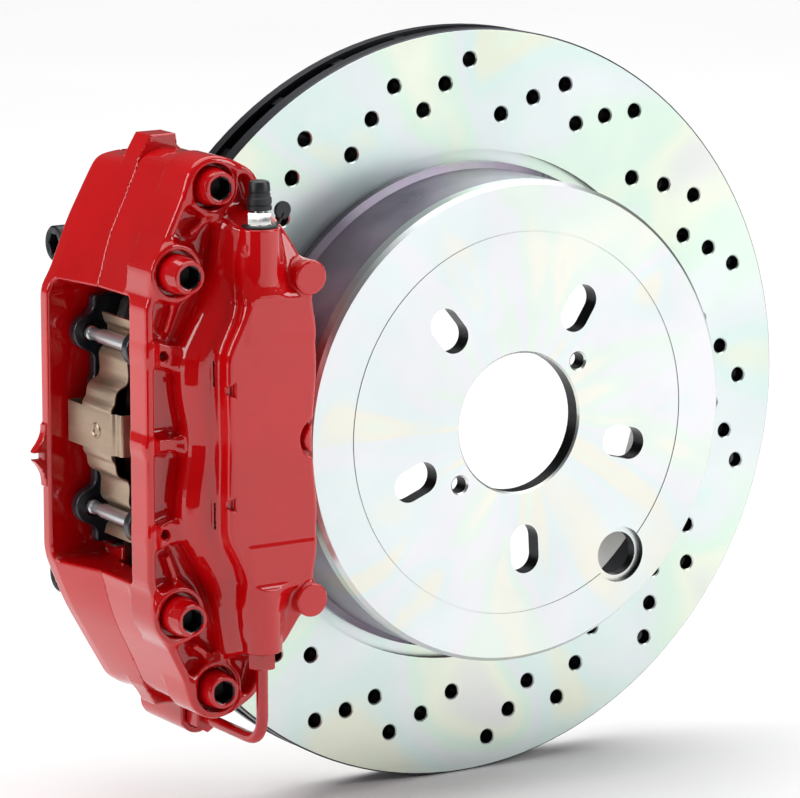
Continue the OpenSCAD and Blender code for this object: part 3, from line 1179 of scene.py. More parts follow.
def field_slope(
    field: Field, points: np.ndarray, step: float
) -> tuple[np.ndarray, np.ndarray]:
    """Distance and unit gradient of a field at points, by central differences.

    Args:
        field: the field.
        points: the points, in mm.
        step: the grid's step, in mm.

    Returns:
        The distance and the unit gradient at each point.
    """
    reach = PROBE_SHARE * step
    here = field(points[:, 0], points[:, 1], points[:, 2])
    slope = []
    for axis in range(3):
        move = np.zeros(3)
        move[axis] = reach
        ahead, behind = (points + move).T, (points - move).T
        slope.append((field(*ahead) - field(*behind)) / (2 * reach))
    gradient = np.stack(slope, axis=1)
    length = np.maximum(np.linalg.norm(gradient, axis=1, keepdims=True), LEAST_SLOPE)
    distance = here / length[:, 0]
    return distance, gradient / np.maximum(
        np.linalg.norm(gradient, axis=1, keepdims=True), 1e-9
    )


# ---------------------------------------------------------------- castings

GRID_STEP = 0.9
DISC_ROOM = 160.5
SPLIT_Y = 45.0
OUTER_WALL_Y = 17.35
INNER_WALL_Y = 72.65
WINDOW_HALF = 58.0
PAD_ROOM_HALF = 53.2
NEAR_BOLT = (-155.5, 69.0)
FAR_BOLT = (-138.0, 102.0)
PIN_SPOT = (-160.0, 36.0)
PISTON_SPOT = (-128.0, 29.0)
# The bores are a little wider and deeper than the pistons need, so that a piston pushed right
# back stays clear of the rounded corner at the floor.
BORE_ROOM = 15.4
OUTER_FLOOR = -5.6
INNER_FLOOR = 95.6
PORT_SPOT = (-123.0, -8.0)
PORT_TOP = 86.0
INNER_PORT = (-120.5, 93.0)
PIPE_SPOT = (-123.0, -124.0)
NEAR_SEAT = 4.5
FAR_SEAT = 8.5
STEP_Y = 80.6
# Holes that both halves share: the boots' and seals' rooms, the pins and the bleed screws.
BOOT_ROOM = 18.1
OUTER_BOOT_FLOOR = 15.75
INNER_BOOT_FLOOR = 74.25
PIN_ROOM = 3.05
BLEED_ROOM = 3.5
# The window's back, and the radii of its corners and of the pads' room.
WINDOW_BACK = -150.0
WINDOW_CORNER = 3.5
WINDOW_EDGE = 1.4
PAD_ROOM_CORNER = 2.0
# Radii that the casting's edges and inner corners repeat.
FINE_EDGE = 0.4
THIN_EDGE = 0.8
EDGE = 1.0
FILLET = 4.0
# Directions of a triangle's three sides, a third of a turn apart, in radians.
TRIANGLE_SIDES = (0.0, 2.094, 4.189)


@dataclass
class OuterCasting:
    """The wheel-side half: rim, pockets round the screws, bulge over the pistons, badge panel."""

    lip_y: float = 2.5
    floor_y: float = 9.5
    ridge_y: float = -6.0
    panel_y: float = -15.0
    lip_width: float = 3.4
    lip_edge: float = 1.6
    pocket_edge: float = 2.5
    ridge_edge: float = 11.0
    panel_edge: float = 2.0
    panel_fillet: float = 3.0
    clip_edge: float = 2.2
    front_back: float = 14.0
    # the wedge's face leans back with height above a start, and its distance is shortened for it
    wedge_rise: float = 0.5
    wedge_slope: float = 0.34
    wedge_start: float = 58.0
    wedge_lean: float = 0.947
    wedge_edge: float = 3.0
    wedge_fillet: float = 2.0
    port_r: float = 8.2
    port_foot: float = 60.0
    boss_spot: tuple = (-104.5, 65.5)
    boss_r: float = 7.0
    boss_rise: float = 2.0
    boss_fillet: float = 1.6
    bolt_wall_r: float = 11.6
    bolt_wall_top: float = 0.6
    bolt_wall_back: float = 20.0
    counterbore_r: float = 9.3
    counterbore_edge: float = 0.7
    shank_hole_r: float = 5.2
    pin_hole_r: float = 1.9
    pin_floor: float = 12.7
    bleed_floor: float = 74.0
    disc_front: float = 32.0
    dimple: tuple = (-140.0, 23.0)
    dimple_size: float = 1.7
    dimple_floor: float = -12.4
    dimple_edge: float = 0.35
    scoop_x: float = -100.5
    scoop_r: float = 7.2
    scoop_half: float = 0.9
    scoop_floor: float = -11.0
    scoop_edge: float = 0.6
    corners: tuple = (5.0, 9.0, 4.5, 4.0, 2.0)
    grid_low: tuple = (-172.0, -19.0, -116.0)
    grid_high: tuple = (-95.0, SPLIT_Y + GRID_STEP, 116.0)
    left: tuple = (
        (-168.5, 0), (-168.5, 56), (-166, 62), (-163.6, 72), (-160.2, 81.6),
        (-153.5, 95), (-147, 109.5), (-139, 112.5), (-127, 111.5),
    )
    right: tuple = (
        (-118, 106), (-113, 90), (-107, 78), (-101.5, 66), (-103, 57),
        (-101, 46), (-100.5, 27), (-103, 0),
    )
    ridge: tuple = (
        (-151.5, 0), (-155.5, 21), (-155.5, 36), (-141, 62), (-137.5, 82), (-136, 90),
        (-90, 92), (-90, 0),
    )
    wedge: tuple = ((-134, 40), (-131, 84), (-113, 88), (-95, 66), (-95, 40))
    webs: tuple = (
        ((-162, 37), (-158, 35.5), 4.6, 3.6),
        ((-153, 60), (-158, 46), 1.2, 5.0),
        ((-166, 0), (-150, 0), 2.6, 4.4),
        ((-146, 84), (-138, 90), 1.4, 4.6),
    )
    panel: tuple = (
        (-141, 0), (-141.5, 22), (-141.5, 37), (-129, 61.5), (-90, 58.5), (-90, 0),
    )

    def clip_outline(self) -> list:
        """Outline that cuts the front face off towards the disc."""
        return both_ends([(-220, 0), (-220, 140), (-118, 140), *self.right])

    def build(self) -> tuple[Surface, np.ndarray]:
        """Meshes the half.

        Returns:
            The surface and its normals.
        """
        shapes = (
            both_ends([*self.left, *self.right]),
            both_ends(self.ridge),
            both_ends(self.panel),
            self.clip_outline(),
            self.wedge,
        )
        outline, ridge, panel, clip, wedge = (
            rounded_outline(shape, corner) for shape, corner in zip(shapes, self.corners)
        )

        def field(x: np.ndarray, y: np.ndarray, z: np.ndarray) -> np.ndarray:
            """Distance to the half at heights z from the caliper's centre line.

            Args:
                x: x of the points, in mm.
                y: y of the points.
                z: z of the points.

            Returns:
                The distance.
            """
            h = np.abs(z)
            flat = outline_distance(outline, x, h)
            solid = round_common(flat, self.lip_y - y, self.lip_edge)
            pocket = round_common(
                flat + self.lip_width, y - self.floor_y, self.pocket_edge
            )
            solid = round_cut(solid, pocket, EDGE)
            solid = self.add_front(solid, x, y, h, ridge, panel, clip, wedge)
            solid = np.maximum(solid, y - SPLIT_Y)
            return self.cut(solid, x, y, z, h)

        return mesh_of_field(field, self.grid_low, self.grid_high, GRID_STEP)

    def add_front(
        self,
        solid: np.ndarray,
        x: np.ndarray,
        y: np.ndarray,
        h: np.ndarray,
        ridge: np.ndarray,
        panel: np.ndarray,
        clip: np.ndarray,
        wedge: np.ndarray,
    ) -> np.ndarray:
        """Adds the bulge, the badge panel, the ports, the bosses and the webs.

        Args:
            solid: the field so far.
            x: x of the points, in mm.
            y: y of the points.
            h: height above or below the centre line.
            ridge: the bulge's rounded outline.
            panel: the panel's.
            clip: the outline that ends the front towards the disc.
            wedge: the slope's beside the panel.

        Returns:
            The new field.
        """
        ridge_side, panel_side = outline_distance(ridge, x, h), outline_distance(panel, x, h)
        bulge = round_common(ridge_side, self.ridge_y - y, self.ridge_edge)
        badge = round_common(panel_side, self.panel_y - y, self.panel_edge)
        front = fillet_join(bulge, badge, self.panel_fillet)
        lean = self.wedge_slope * np.maximum(h - self.wedge_start, 0)
        fall = self.wedge_lean * (self.panel_y + self.wedge_rise + lean - y)
        ramp = round_common(outline_distance(wedge, x, h), fall, self.wedge_edge)
        front = fillet_join(front, ramp, self.wedge_fillet)
        around = np.hypot(x - PORT_SPOT[0], y - PORT_SPOT[1]) - self.port_r
        block = np.maximum(np.abs(x - PORT_SPOT[0]) - self.port_r, PORT_SPOT[1] - y)
        port = round_common(np.minimum(around, block), h - PORT_TOP, THIN_EDGE)
        port = np.maximum(port, self.port_foot - h)
        front = fillet_join(front, port, FILLET)
        front = round_common(front, outline_distance(clip, x, h), self.clip_edge)
        boss = np.hypot(x - self.boss_spot[0], h - self.boss_spot[1]) - self.boss_r
        boss = round_common(boss, self.panel_y - self.boss_rise - y, THIN_EDGE)
        front = fillet_join(front, boss, self.boss_fillet)
        front = np.maximum(front, y - self.front_back)
        solid = fillet_join(solid, front, FILLET)
        for (bx, bz), top in ((NEAR_BOLT, self.bolt_wall_top), (FAR_BOLT, self.lip_y)):
            wall = np.hypot(x - bx, h - bz) - self.bolt_wall_r
            wall = round_common(wall, top - y, THIN_EDGE)
            solid = fillet_join(solid, np.maximum(wall, y - self.bolt_wall_back), FILLET)
        for start, end, width, top in self.webs:
            web = self.capsule(x, h, start, end, width)
            web = np.maximum(round_common(web, top - y, THIN_EDGE), y - self.front_back)
            solid = fillet_join(solid, web, FILLET)
        return solid

    @staticmethod
    def capsule(
        x: np.ndarray,
        h: np.ndarray,
        start: tuple[float, float],
        end: tuple[float, float],
        width: float,
    ) -> np.ndarray:
        """Distance to a round-ended bar: distance to its line less half its width.

        Args:
            x: x of the points, in mm.
            h: height of the points.
            start: one end of the bar's line.
            end: the other end.
            width: half of the bar's width.

        Returns:
            The distance.
        """
        ex, ez = end[0] - start[0], end[1] - start[1]
        t = np.clip(((x - start[0]) * ex + (h - start[1]) * ez) / (ex * ex + ez * ez), 0, 1)
        return np.hypot(x - start[0] - t * ex, h - start[1] - t * ez) - width

    def cut(
        self,
        solid: np.ndarray,
        x: np.ndarray,
        y: np.ndarray,
        z: np.ndarray,
        h: np.ndarray,
    ) -> np.ndarray:
        """Cuts the room for the disc and pads, the counterbores and the holes.

        Args:
            solid: the field so far.
            x: x of the points, in mm.
            y: y of the points.
            z: z of the points.
            h: height above or below the centre line.

        Returns:
            The new field.
        """
        out = np.hypot(x, z + CALIPER_RISE)
        disc = np.maximum(out - DISC_ROOM, self.disc_front - y)
        solid = round_cut(solid, disc, EDGE)
        window = round_common(OUTER_WALL_Y - y, h - WINDOW_HALF, WINDOW_CORNER)
        solid = round_cut(solid, np.maximum(window, x - WINDOW_BACK), WINDOW_EDGE)
        pads = round_common(OUTER_WALL_Y - y, h - PAD_ROOM_HALF, PAD_ROOM_CORNER)
        solid = round_cut(solid, pads, EDGE)
        bore = np.hypot(x - PISTON_SPOT[0], h - PISTON_SPOT[1])
        solid = np.maximum(solid, -np.maximum(bore - BORE_ROOM, OUTER_FLOOR - y))
        solid = np.maximum(solid, -np.maximum(bore - BOOT_ROOM, OUTER_BOOT_FLOOR - y))
        for (bx, bz), seat in ((NEAR_BOLT, NEAR_SEAT), (FAR_BOLT, FAR_SEAT)):
            bolt = np.hypot(x - bx, h - bz)
            sunk = np.maximum(bolt - self.counterbore_r, y - seat)
            solid = round_cut(solid, sunk, self.counterbore_edge)
            solid = np.maximum(solid, self.shank_hole_r - bolt)
        pin = np.hypot(x - PIN_SPOT[0], h - PIN_SPOT[1])
        solid = round_cut(solid, pin - self.pin_hole_r, FINE_EDGE)
        solid = np.maximum(solid, -np.maximum(pin - PIN_ROOM, self.pin_floor - y))
        bleed = np.hypot(x - PORT_SPOT[0], y - PORT_SPOT[1]) - BLEED_ROOM
        solid = np.maximum(solid, -np.maximum(bleed, self.bleed_floor - h))
        dimple = self.triangle(x - self.dimple[0], h - self.dimple[1], self.dimple_size)
        dimple = np.maximum(dimple, y - self.dimple_floor)
        solid = round_cut(solid, dimple, self.dimple_edge)
        scoop = np.abs(np.hypot(x - self.scoop_x, z) - self.scoop_r) - self.scoop_half
        return round_cut(solid, np.maximum(scoop, y - self.scoop_floor), self.scoop_edge)

    @staticmethod
    def triangle(x: np.ndarray, h: np.ndarray, size: float) -> np.ndarray:
        """Distance to an upright triangle: the farthest of its three sides."""
        sides = [x * math.cos(a) + h * math.sin(a) - size for a in TRIANGLE_SIDES]
        return np.maximum(np.maximum(sides[0], sides[1]), sides[2])


@dataclass
class InnerCasting:
    """The hub-side half: it flares out to its rim, and carries the domes and mounting ears."""

    rear_y: float = 101.0
    dome_y: float = 107.0
    tab_z: float = -15.0
    tab_edge: float = -176.5
    tab_reach: float = 7.0
    tab_half: float = 12.0
    tab_power: float = 2.2
    tab_cut: float = 13.0
    tab_slot: float = 1.5
    tab_slot_end: float = -177.6
    tab_back: float = -165.0
    tab_front: float = 74.0
    # the outline at the split turns into the rim's over this depth
    flare: float = 27.0
    rim_edge: float = 3.0
    front_y: float = 60.0
    dome_r: float = 20.0
    dome_foot: float = 88.0
    lug_end: float = 58.0
    lug_edge: float = 1.6
    lug_fillet: float = 2.0
    port_r: float = 8.0
    port_foot: float = 60.0
    port_fillet: float = 3.0
    pipe_boss_r: float = 8.0
    pipe_boss_top: float = -100.0
    pipe_boss_edge: float = 2.0
    disc_back: float = 58.0
    bolt_hole_r: float = 5.05
    bolt_floor: float = 79.2
    sleeve_room: float = 4.1
    sleeve_floor: float = 75.0
    stud: tuple = (89.5, 69.0)
    stud_r: float = 5.25
    stud_seat_r: float = 9.4
    stud_edge: float = 0.6
    bleed_floor: float = 76.0
    pipe_hole_r: float = 5.0
    pipe_floor: float = 57.0
    inlet_x: float = -117.0
    inlet_r: float = 4.5
    inlet_floor: float = 86.0
    corner: float = 5.0
    grid_low: tuple = (-186.0, SPLIT_Y - GRID_STEP, -135.0)
    grid_high: tuple = (-98.0, 110.0, 121.0)
    rim_top: tuple = (
        (-175.5, 54), (-171, 61.3), (-163, 81), (-153.7, 98), (-149, 105.9),
        (-140, 107.5), (-127, 107.5),
    )
    rim_bottom: tuple = (
        (-127, -115), (-139.5, -116), (-147, -112), (-156, -96.5), (-166.5, -78),
        (-175.5, -56),
    )
    right: tuple = ((-117, 104), (-112, 92), (-112, 50), (-104, 40), (-104, 0))
    lug: tuple = ((-148, 98), (-147.7, 109), (-142.5, 117.6), (-130.7, 117.6), (-128.5, 98))
    rear: tuple = (
        (-150, 0), (-150, 78), (-140, 86), (-118, 86), (-112, 80), (-112, 50),
        (-104, 40), (-104, 0),
    )

    def build(self) -> tuple[Surface, np.ndarray]:
        """Meshes the half.

        Returns:
            The surface and its normals.
        """
        split = rounded_outline(both_ends([*OuterCasting.left, *self.right]), self.corner)
        under = [(x, -z) for x, z in reversed(self.right) if z > 0]
        rim = [*self.rim_top, *self.right, *under, *self.rim_bottom]
        hub = rounded_outline(rim, self.corner)
        rear = rounded_outline(both_ends(self.rear), self.corner)

        def field(x: np.ndarray, y: np.ndarray, z: np.ndarray) -> np.ndarray:
            """Distance to the half at heights z from the caliper's centre line.

            Args:
                x: x of the points, in mm.
                y: y of the points.
                z: z of the points.

            Returns:
                The distance.
            """
            h = np.abs(z)
            share = np.clip((y - SPLIT_Y) / self.flare, 0, 1)
            at_split = outline_distance(split, x, h)
            side = (1 - share) * at_split + share * outline_distance(hub, x, z)
            side = np.minimum(side, self.tab(x, y, z))
            solid = round_common(side, y - STEP_Y, self.rim_edge)
            back = outline_distance(rear, x, h)
            back = round_common(back, y - self.rear_y, self.rim_edge)
            solid = fillet_join(solid, np.maximum(back, self.front_y - y), FILLET)
            solid = self.add_parts(solid, x, y, z, h)
            solid = np.maximum(solid, SPLIT_Y - y)
            return self.cut(solid, x, y, z, h)

        return mesh_of_field(field, self.grid_low, self.grid_high, GRID_STEP)

    def tab(self, x: np.ndarray, y: np.ndarray, z: np.ndarray) -> np.ndarray:
        """The notched tab: the rim's edge sweeps out by a power of its nearness to the tab.

        Args:
            x: x of the points, in mm.
            y: y of the points.
            z: z of the points.

        Returns:
            The distance to it.
        """
        away = np.abs(z - self.tab_z)
        near = np.clip(1 - away / self.tab_half, 0, 1)
        edge = self.tab_edge - self.tab_reach * near**self.tab_power - x
        slot = np.minimum(self.tab_slot - away, self.tab_slot_end - x)
        body = np.maximum(np.maximum(edge, x - self.tab_back), away - self.tab_cut)
        return np.maximum(np.maximum(body, slot), self.tab_front - y)

    def add_parts(
        self,
        solid: np.ndarray,
        x: np.ndarray,
        y: np.ndarray,
        z: np.ndarray,
        h: np.ndarray,
    ) -> np.ndarray:
        """Adds the piston domes, the lugs, the bleed port and the pipe's boss.

        Args:
            solid: the field so far.
            x: x of the points, in mm.
            y: y of the points.
            z: z of the points.
            h: height above or below the centre line.

        Returns:
            The new field.
        """
        dome = np.hypot(x - PISTON_SPOT[0], h - PISTON_SPOT[1]) - self.dome_r
        dome = round_common(dome, y - self.dome_y, FILLET)
        solid = fillet_join(solid, np.maximum(dome, self.dome_foot - y), FILLET)
        lug = outline_distance(self.lug, x, h)
        lug = round_common(lug, y - self.lug_end, self.lug_edge)
        solid = fillet_join(solid, lug, self.lug_fillet)
        port = np.hypot(x - INNER_PORT[0], y - INNER_PORT[1]) - self.port_r
        port = round_common(port, np.abs(z) - PORT_TOP, THIN_EDGE)
        port = np.maximum(port, self.port_foot - z)
        solid = fillet_join(solid, port, self.port_fillet)
        pipe = np.hypot(x - PIPE_SPOT[0], z - PIPE_SPOT[1]) - self.pipe_boss_r
        block = np.abs(x - PIPE_SPOT[0]) - self.pipe_boss_r
        block = np.maximum(np.maximum(block, PIPE_SPOT[1] - z), z - self.pipe_boss_top)
        pipe = round_common(np.minimum(pipe, block), y - STEP_Y, self.pipe_boss_edge)
        return fillet_join(solid, pipe, self.port_fillet)

    def cut(
        self,
        solid: np.ndarray,
        x: np.ndarray,
        y: np.ndarray,
        z: np.ndarray,
        h: np.ndarray,
    ) -> np.ndarray:
        """Cuts the room for the disc and pads, and the holes.

        Args:
            solid: the field so far.
            x: x of the points, in mm.
            y: y of the points.
            z: z of the points.
            h: height above or below the centre line.

        Returns:
            The new field.
        """
        out = np.hypot(x, z + CALIPER_RISE)
        disc = np.maximum(out - DISC_ROOM, y - self.disc_back)
        solid = round_cut(solid, disc, EDGE)
        window = round_common(y - INNER_WALL_Y, h - WINDOW_HALF, WINDOW_CORNER)
        solid = round_cut(solid, np.maximum(window, x - WINDOW_BACK), WINDOW_EDGE)
        pads = round_common(y - INNER_WALL_Y, h - PAD_ROOM_HALF, PAD_ROOM_CORNER)
        solid = round_cut(solid, pads, EDGE)
        bore = np.hypot(x - PISTON_SPOT[0], h - PISTON_SPOT[1])
        solid = np.maximum(solid, -np.maximum(bore - BORE_ROOM, y - INNER_FLOOR))
        solid = np.maximum(solid, -np.maximum(bore - BOOT_ROOM, y - INNER_BOOT_FLOOR))
        for bx, bz in (NEAR_BOLT, FAR_BOLT):
            bolt = np.hypot(x - bx, h - bz) - self.bolt_hole_r
            solid = np.maximum(solid, -np.maximum(bolt, y - self.bolt_floor))
        pin = np.hypot(x - PIN_SPOT[0], h - PIN_SPOT[1])
        solid = np.maximum(solid, PIN_ROOM - pin)
        sleeve = np.maximum(pin - self.sleeve_room, self.sleeve_floor - y)
        solid = np.maximum(solid, -sleeve)
        stud = np.hypot(y - self.stud[0], h - self.stud[1])
        solid = round_cut(solid, stud - self.stud_r, FINE_EDGE)
        seat = np.maximum(stud - self.stud_seat_r, x - WINDOW_BACK)
        solid = round_cut(solid, seat, self.stud_edge)
        bleed = np.hypot(x - INNER_PORT[0], y - INNER_PORT[1]) - BLEED_ROOM
        solid = np.maximum(solid, -np.maximum(bleed, self.bleed_floor - z))
        pipe = np.hypot(x - PIPE_SPOT[0], z - PIPE_SPOT[1]) - self.pipe_hole_r
        solid = np.maximum(solid, -np.maximum(pipe, y - self.pipe_floor))
        inlet = np.maximum(np.hypot(x - self.inlet_x, z) - self.inlet_r, self.inlet_floor - y)
        return round_cut(solid, inlet, FINE_EDGE)


@dataclass
class Castings:
    """Both red halves of the caliper."""

    outer: OuterCasting
    inner: InnerCasting

    def build(self) -> None:
        """Meshes both halves and hands them to the frame."""
        for name, half, node in (
            ("outer_casting", self.outer, "outer_half"),
            ("inner_casting", self.inner, "inner_half"),
        ):
            surface, normals = half.build()
            surface = surface.moved(0, 0, CALIPER_RISE)
            make_piece(
                name, surface, RED_ENAMEL, "caliper", [node], normals
            )


# ---------------------------------------------------------------- turned and bent pieces


def both_sides(part: Surface) -> list[Surface]:
    """A part above the caliper's centre line and its mirror image below it."""
    return [part, part.mirrored(2)]


@dataclass
class Screws:
    """The four bridge bolts, and the two screws that hold the caliper to the knuckle."""

    head_r: float = 7.9
    face_r: float = 6.3
    socket_r: float = 4.7
    bolt_end: float = 79.0
    mount_y: float = 89.5
    mount_z: float = 69.0
    mount_face: float = -163.5
    mount_seat: float = -151.5
    knuckle_x: float = -112.0
    mount_end: float = -90.0
    thread_pitch: float = 1.5
    thread_depth: float = 0.55
    socket_end: float = 8.0

    def bolt(self, spot: tuple[float, float], face: float, seat: float) -> Surface:
        """One bridge bolt: a tapered head with a bright rim and a deep hexagon, and its shank.

        Args:
            spot: x and z of its axis, in mm.
            face: y of the head's face.
            seat: y of the head's seat.

        Returns:
            The closed surface.
        """
        profile = [
            (0, face + 8.6),
            (self.socket_r - 0.3, face + 8.0, 1),
            (self.socket_r, face + 0.7, 1),
            (self.socket_r + 0.35, face + 0.15, 0.4),
            (self.socket_r + 0.6, face),
            (self.face_r - 0.15, face),
            (self.face_r + 0.35, face + 0.5),
            (self.face_r + 0.75, face + 3.0),
            (self.head_r, face + 8.5),
            (self.head_r, seat),
            (5.0, seat),
            (5.0, self.bolt_end - 0.6),
            (4.4, self.bolt_end),
            (0, self.bolt_end),
        ]
        return turned(profile, Axis.Y).moved(spot[0], 0, spot[1])

    def dark_sockets(self, piece: bpy.types.Object) -> None:
        """Gives the hexagons the black oxide finish, darker than the enamel: their faces lie
        within the socket's radius of an axis.

        Args:
            piece: the four bolts.
        """
        mesh = piece.data
        mesh.materials.append(BLACK_OXIDE.material())
        middle = np.zeros(len(mesh.polygons) * 3)
        mesh.polygons.foreach_get("center", middle)
        x, y, z = middle.reshape(-1, 3).T / MM
        h = np.abs(z - CALIPER_RISE)
        dark_socket = np.zeros(len(x), np.int32)
        for spot in (NEAR_BOLT, FAR_BOLT):
            near_axis = np.hypot(x - spot[0], h - spot[1]) < self.socket_r
            dark_socket |= (near_axis & (y < self.socket_end)).astype(np.int32)
        mesh.polygons.foreach_set("material_index", dark_socket)

    def mounting_screw(self) -> Surface:
        """One mounting screw: round head, hexagon socket, waisted shank, and a threaded end.

        The thread is rings of radius r and r - depth in turn, half a pitch apart.

        Returns:
            The closed surface.
        """
        rings = np.arange(self.knuckle_x + 1.2, self.mount_end - 1, self.thread_pitch / 2)
        thread = [
            (5.0 - self.thread_depth * (i % 2), float(x)) for i, x in enumerate(rings)
        ]
        profile = [
            (0, self.mount_face + 6.0),
            (4.4, self.mount_face + 5.6, 1),
            (4.6, self.mount_face + 0.5, 1),
            (5.0, self.mount_face),
            (6.8, self.mount_face),
            (7.5, self.mount_face + 0.7),
            (7.5, self.mount_seat),
            (4.5, self.mount_seat),
            (4.5, self.knuckle_x),
            (5.0, self.knuckle_x + 0.5),
            *thread,
            (4.2, self.mount_end),
            (0, self.mount_end),
        ]
        screw = turned(profile, Axis.X, 48)
        return screw.moved(0, self.mount_y, self.mount_z)

    def build(self) -> None:
        """Makes both kinds of screws."""
        near = self.bolt(NEAR_BOLT, -10.0, NEAR_SEAT)
        far = self.bolt(FAR_BOLT, -4.0, FAR_SEAT)
        bolts = joined(both_sides(near) + both_sides(far)).moved(0, 0, CALIPER_RISE)
        piece = make_piece(
            "bridge_bolt_set", bolts, RED_SCREW, "caliper", ["bridge_bolts"]
        )
        self.dark_sockets(piece)
        screws = joined(both_sides(self.mounting_screw())).moved(0, 0, CALIPER_RISE)
        make_piece(
            "mounting_screw_pair",
            screws,
            BLACK_OXIDE,
            "caliper",
            ["mounting_screws"],
        )


@dataclass
class Pads:
    """Both pads: a steel back with ears for the pins, and a slotted friction lining."""

    inner_r: float = 109.0
    outer_r: float = 156.0
    half_height: float = 52.0
    back_t: float = 5.0
    lining_t: float = 9.0
    ear_r: float = 7.5
    slot_w: float = 3.0
    chamfer: float = 4.0
    disc_faces: tuple[float, float] = (34.55, 55.45)
    step: float = 0.7
    brow_middle: float = -149.0
    brow_reach: float = 9.5
    brow_corner: float = 3.0
    tab_reach: float = 10.0
    tab_half: float = 16.0
    hole_r: float = 3.6

    def sector(self, x: np.ndarray, z: np.ndarray, half: float) -> np.ndarray:
        """Distance to the part of a ring about the disc's axis within a height of its middle."""
        out = np.hypot(x, z + CALIPER_RISE)
        ring = np.maximum(out - self.outer_r, self.inner_r - out)
        return round_common(ring, np.abs(z) - half, 2.0)

    def back(self) -> tuple[Surface, np.ndarray]:
        """The steel back, centred on y = 0.

        Returns:
            The surface and its normals.
        """

        def field(x: np.ndarray, y: np.ndarray, z: np.ndarray) -> np.ndarray:
            """Ring sector with a straight outer edge and two ears, less the pin holes.

            Args:
                x: x of the points, in mm.
                y: y of the points.
                z: z of the points.

            Returns:
                The distance.
            """
            h = np.abs(z)
            ear = OuterCasting.capsule(x, h, PIN_SPOT, (-150, PIN_SPOT[1]), self.ear_r)
            from_middle = np.abs(x - self.brow_middle)
            tab = np.maximum(from_middle - self.tab_reach, h - self.tab_half)
            brow = np.maximum(from_middle - self.brow_reach, h - self.half_height)
            brow = round_common(brow, h - self.half_height, self.brow_corner)
            flat = np.minimum(self.sector(x, z, self.half_height), brow)
            flat = fillet_join(flat, ear, 4.0)
            flat = fillet_join(flat, tab, 3.0)
            pin = np.hypot(x - PIN_SPOT[0], h - PIN_SPOT[1])
            flat = np.maximum(flat, self.hole_r - pin)
            return round_common(flat, np.abs(y) - self.back_t / 2, 0.7)

        half = self.back_t / 2 + self.step
        low, high = (-169.0, -half, -54.0), (-92.0, half, 54.0)
        return mesh_of_field(field, low, high, self.step)

    def lining(self) -> tuple[Surface, np.ndarray]:
        """The lining from its back at y = 0 to its face, with chamfered ends and a slot.

        Returns:
            The surface and its normals.
        """

        def field(x: np.ndarray, y: np.ndarray, z: np.ndarray) -> np.ndarray:
            """Ring sector, less the ends' slopes and the middle slot.

            Args:
                x: x of the points, in mm.
                y: y of the points.
                z: z of the points.

            Returns:
                The distance.
            """
            h = np.abs(z)
            half = self.half_height - 2
            flat = self.sector(x, z, half)
            slope = 0.707 * (h - half + y - self.lining_t + self.chamfer)
            solid = np.maximum(flat, slope)
            solid = round_cut(solid, h - self.slot_w / 2, 0.3)
            middle = np.abs(y - self.lining_t / 2) - self.lining_t / 2
            return round_common(solid, middle, 0.4)

        low = (-158.0, -self.step, -52.0)
        high = (-92.0, self.lining_t + self.step, 52.0)
        return mesh_of_field(field, low, high, self.step)

    def build(self) -> None:
        """Makes the backs and linings of both pads."""
        outer_face, inner_face = self.disc_faces
        for side, face, turn in (("outer", outer_face, 1), ("inner", inner_face, -1)):
            seat = face - turn * self.lining_t
            middle = seat - turn * self.back_t / 2
            surface, normals = self.back()
            make_piece(
                f"{side}_pad_back",
                surface.moved(0, middle, CALIPER_RISE),
                PAD_BACK,
                f"{side}_pad",
                [f"{side}_pad_plate"],
                normals,
            )
            surface, normals = self.lining()
            if turn < 0:
                surface = surface.mirrored(1)
                normals = normals * np.array([1.0, -1.0, 1.0])
            make_piece(
                f"{side}_pad_friction",
                surface.moved(0, seat, CALIPER_RISE),
                PAD_FRICTION,
                f"{side}_pad",
                [f"{side}_pad_lining"],
                normals,
            )


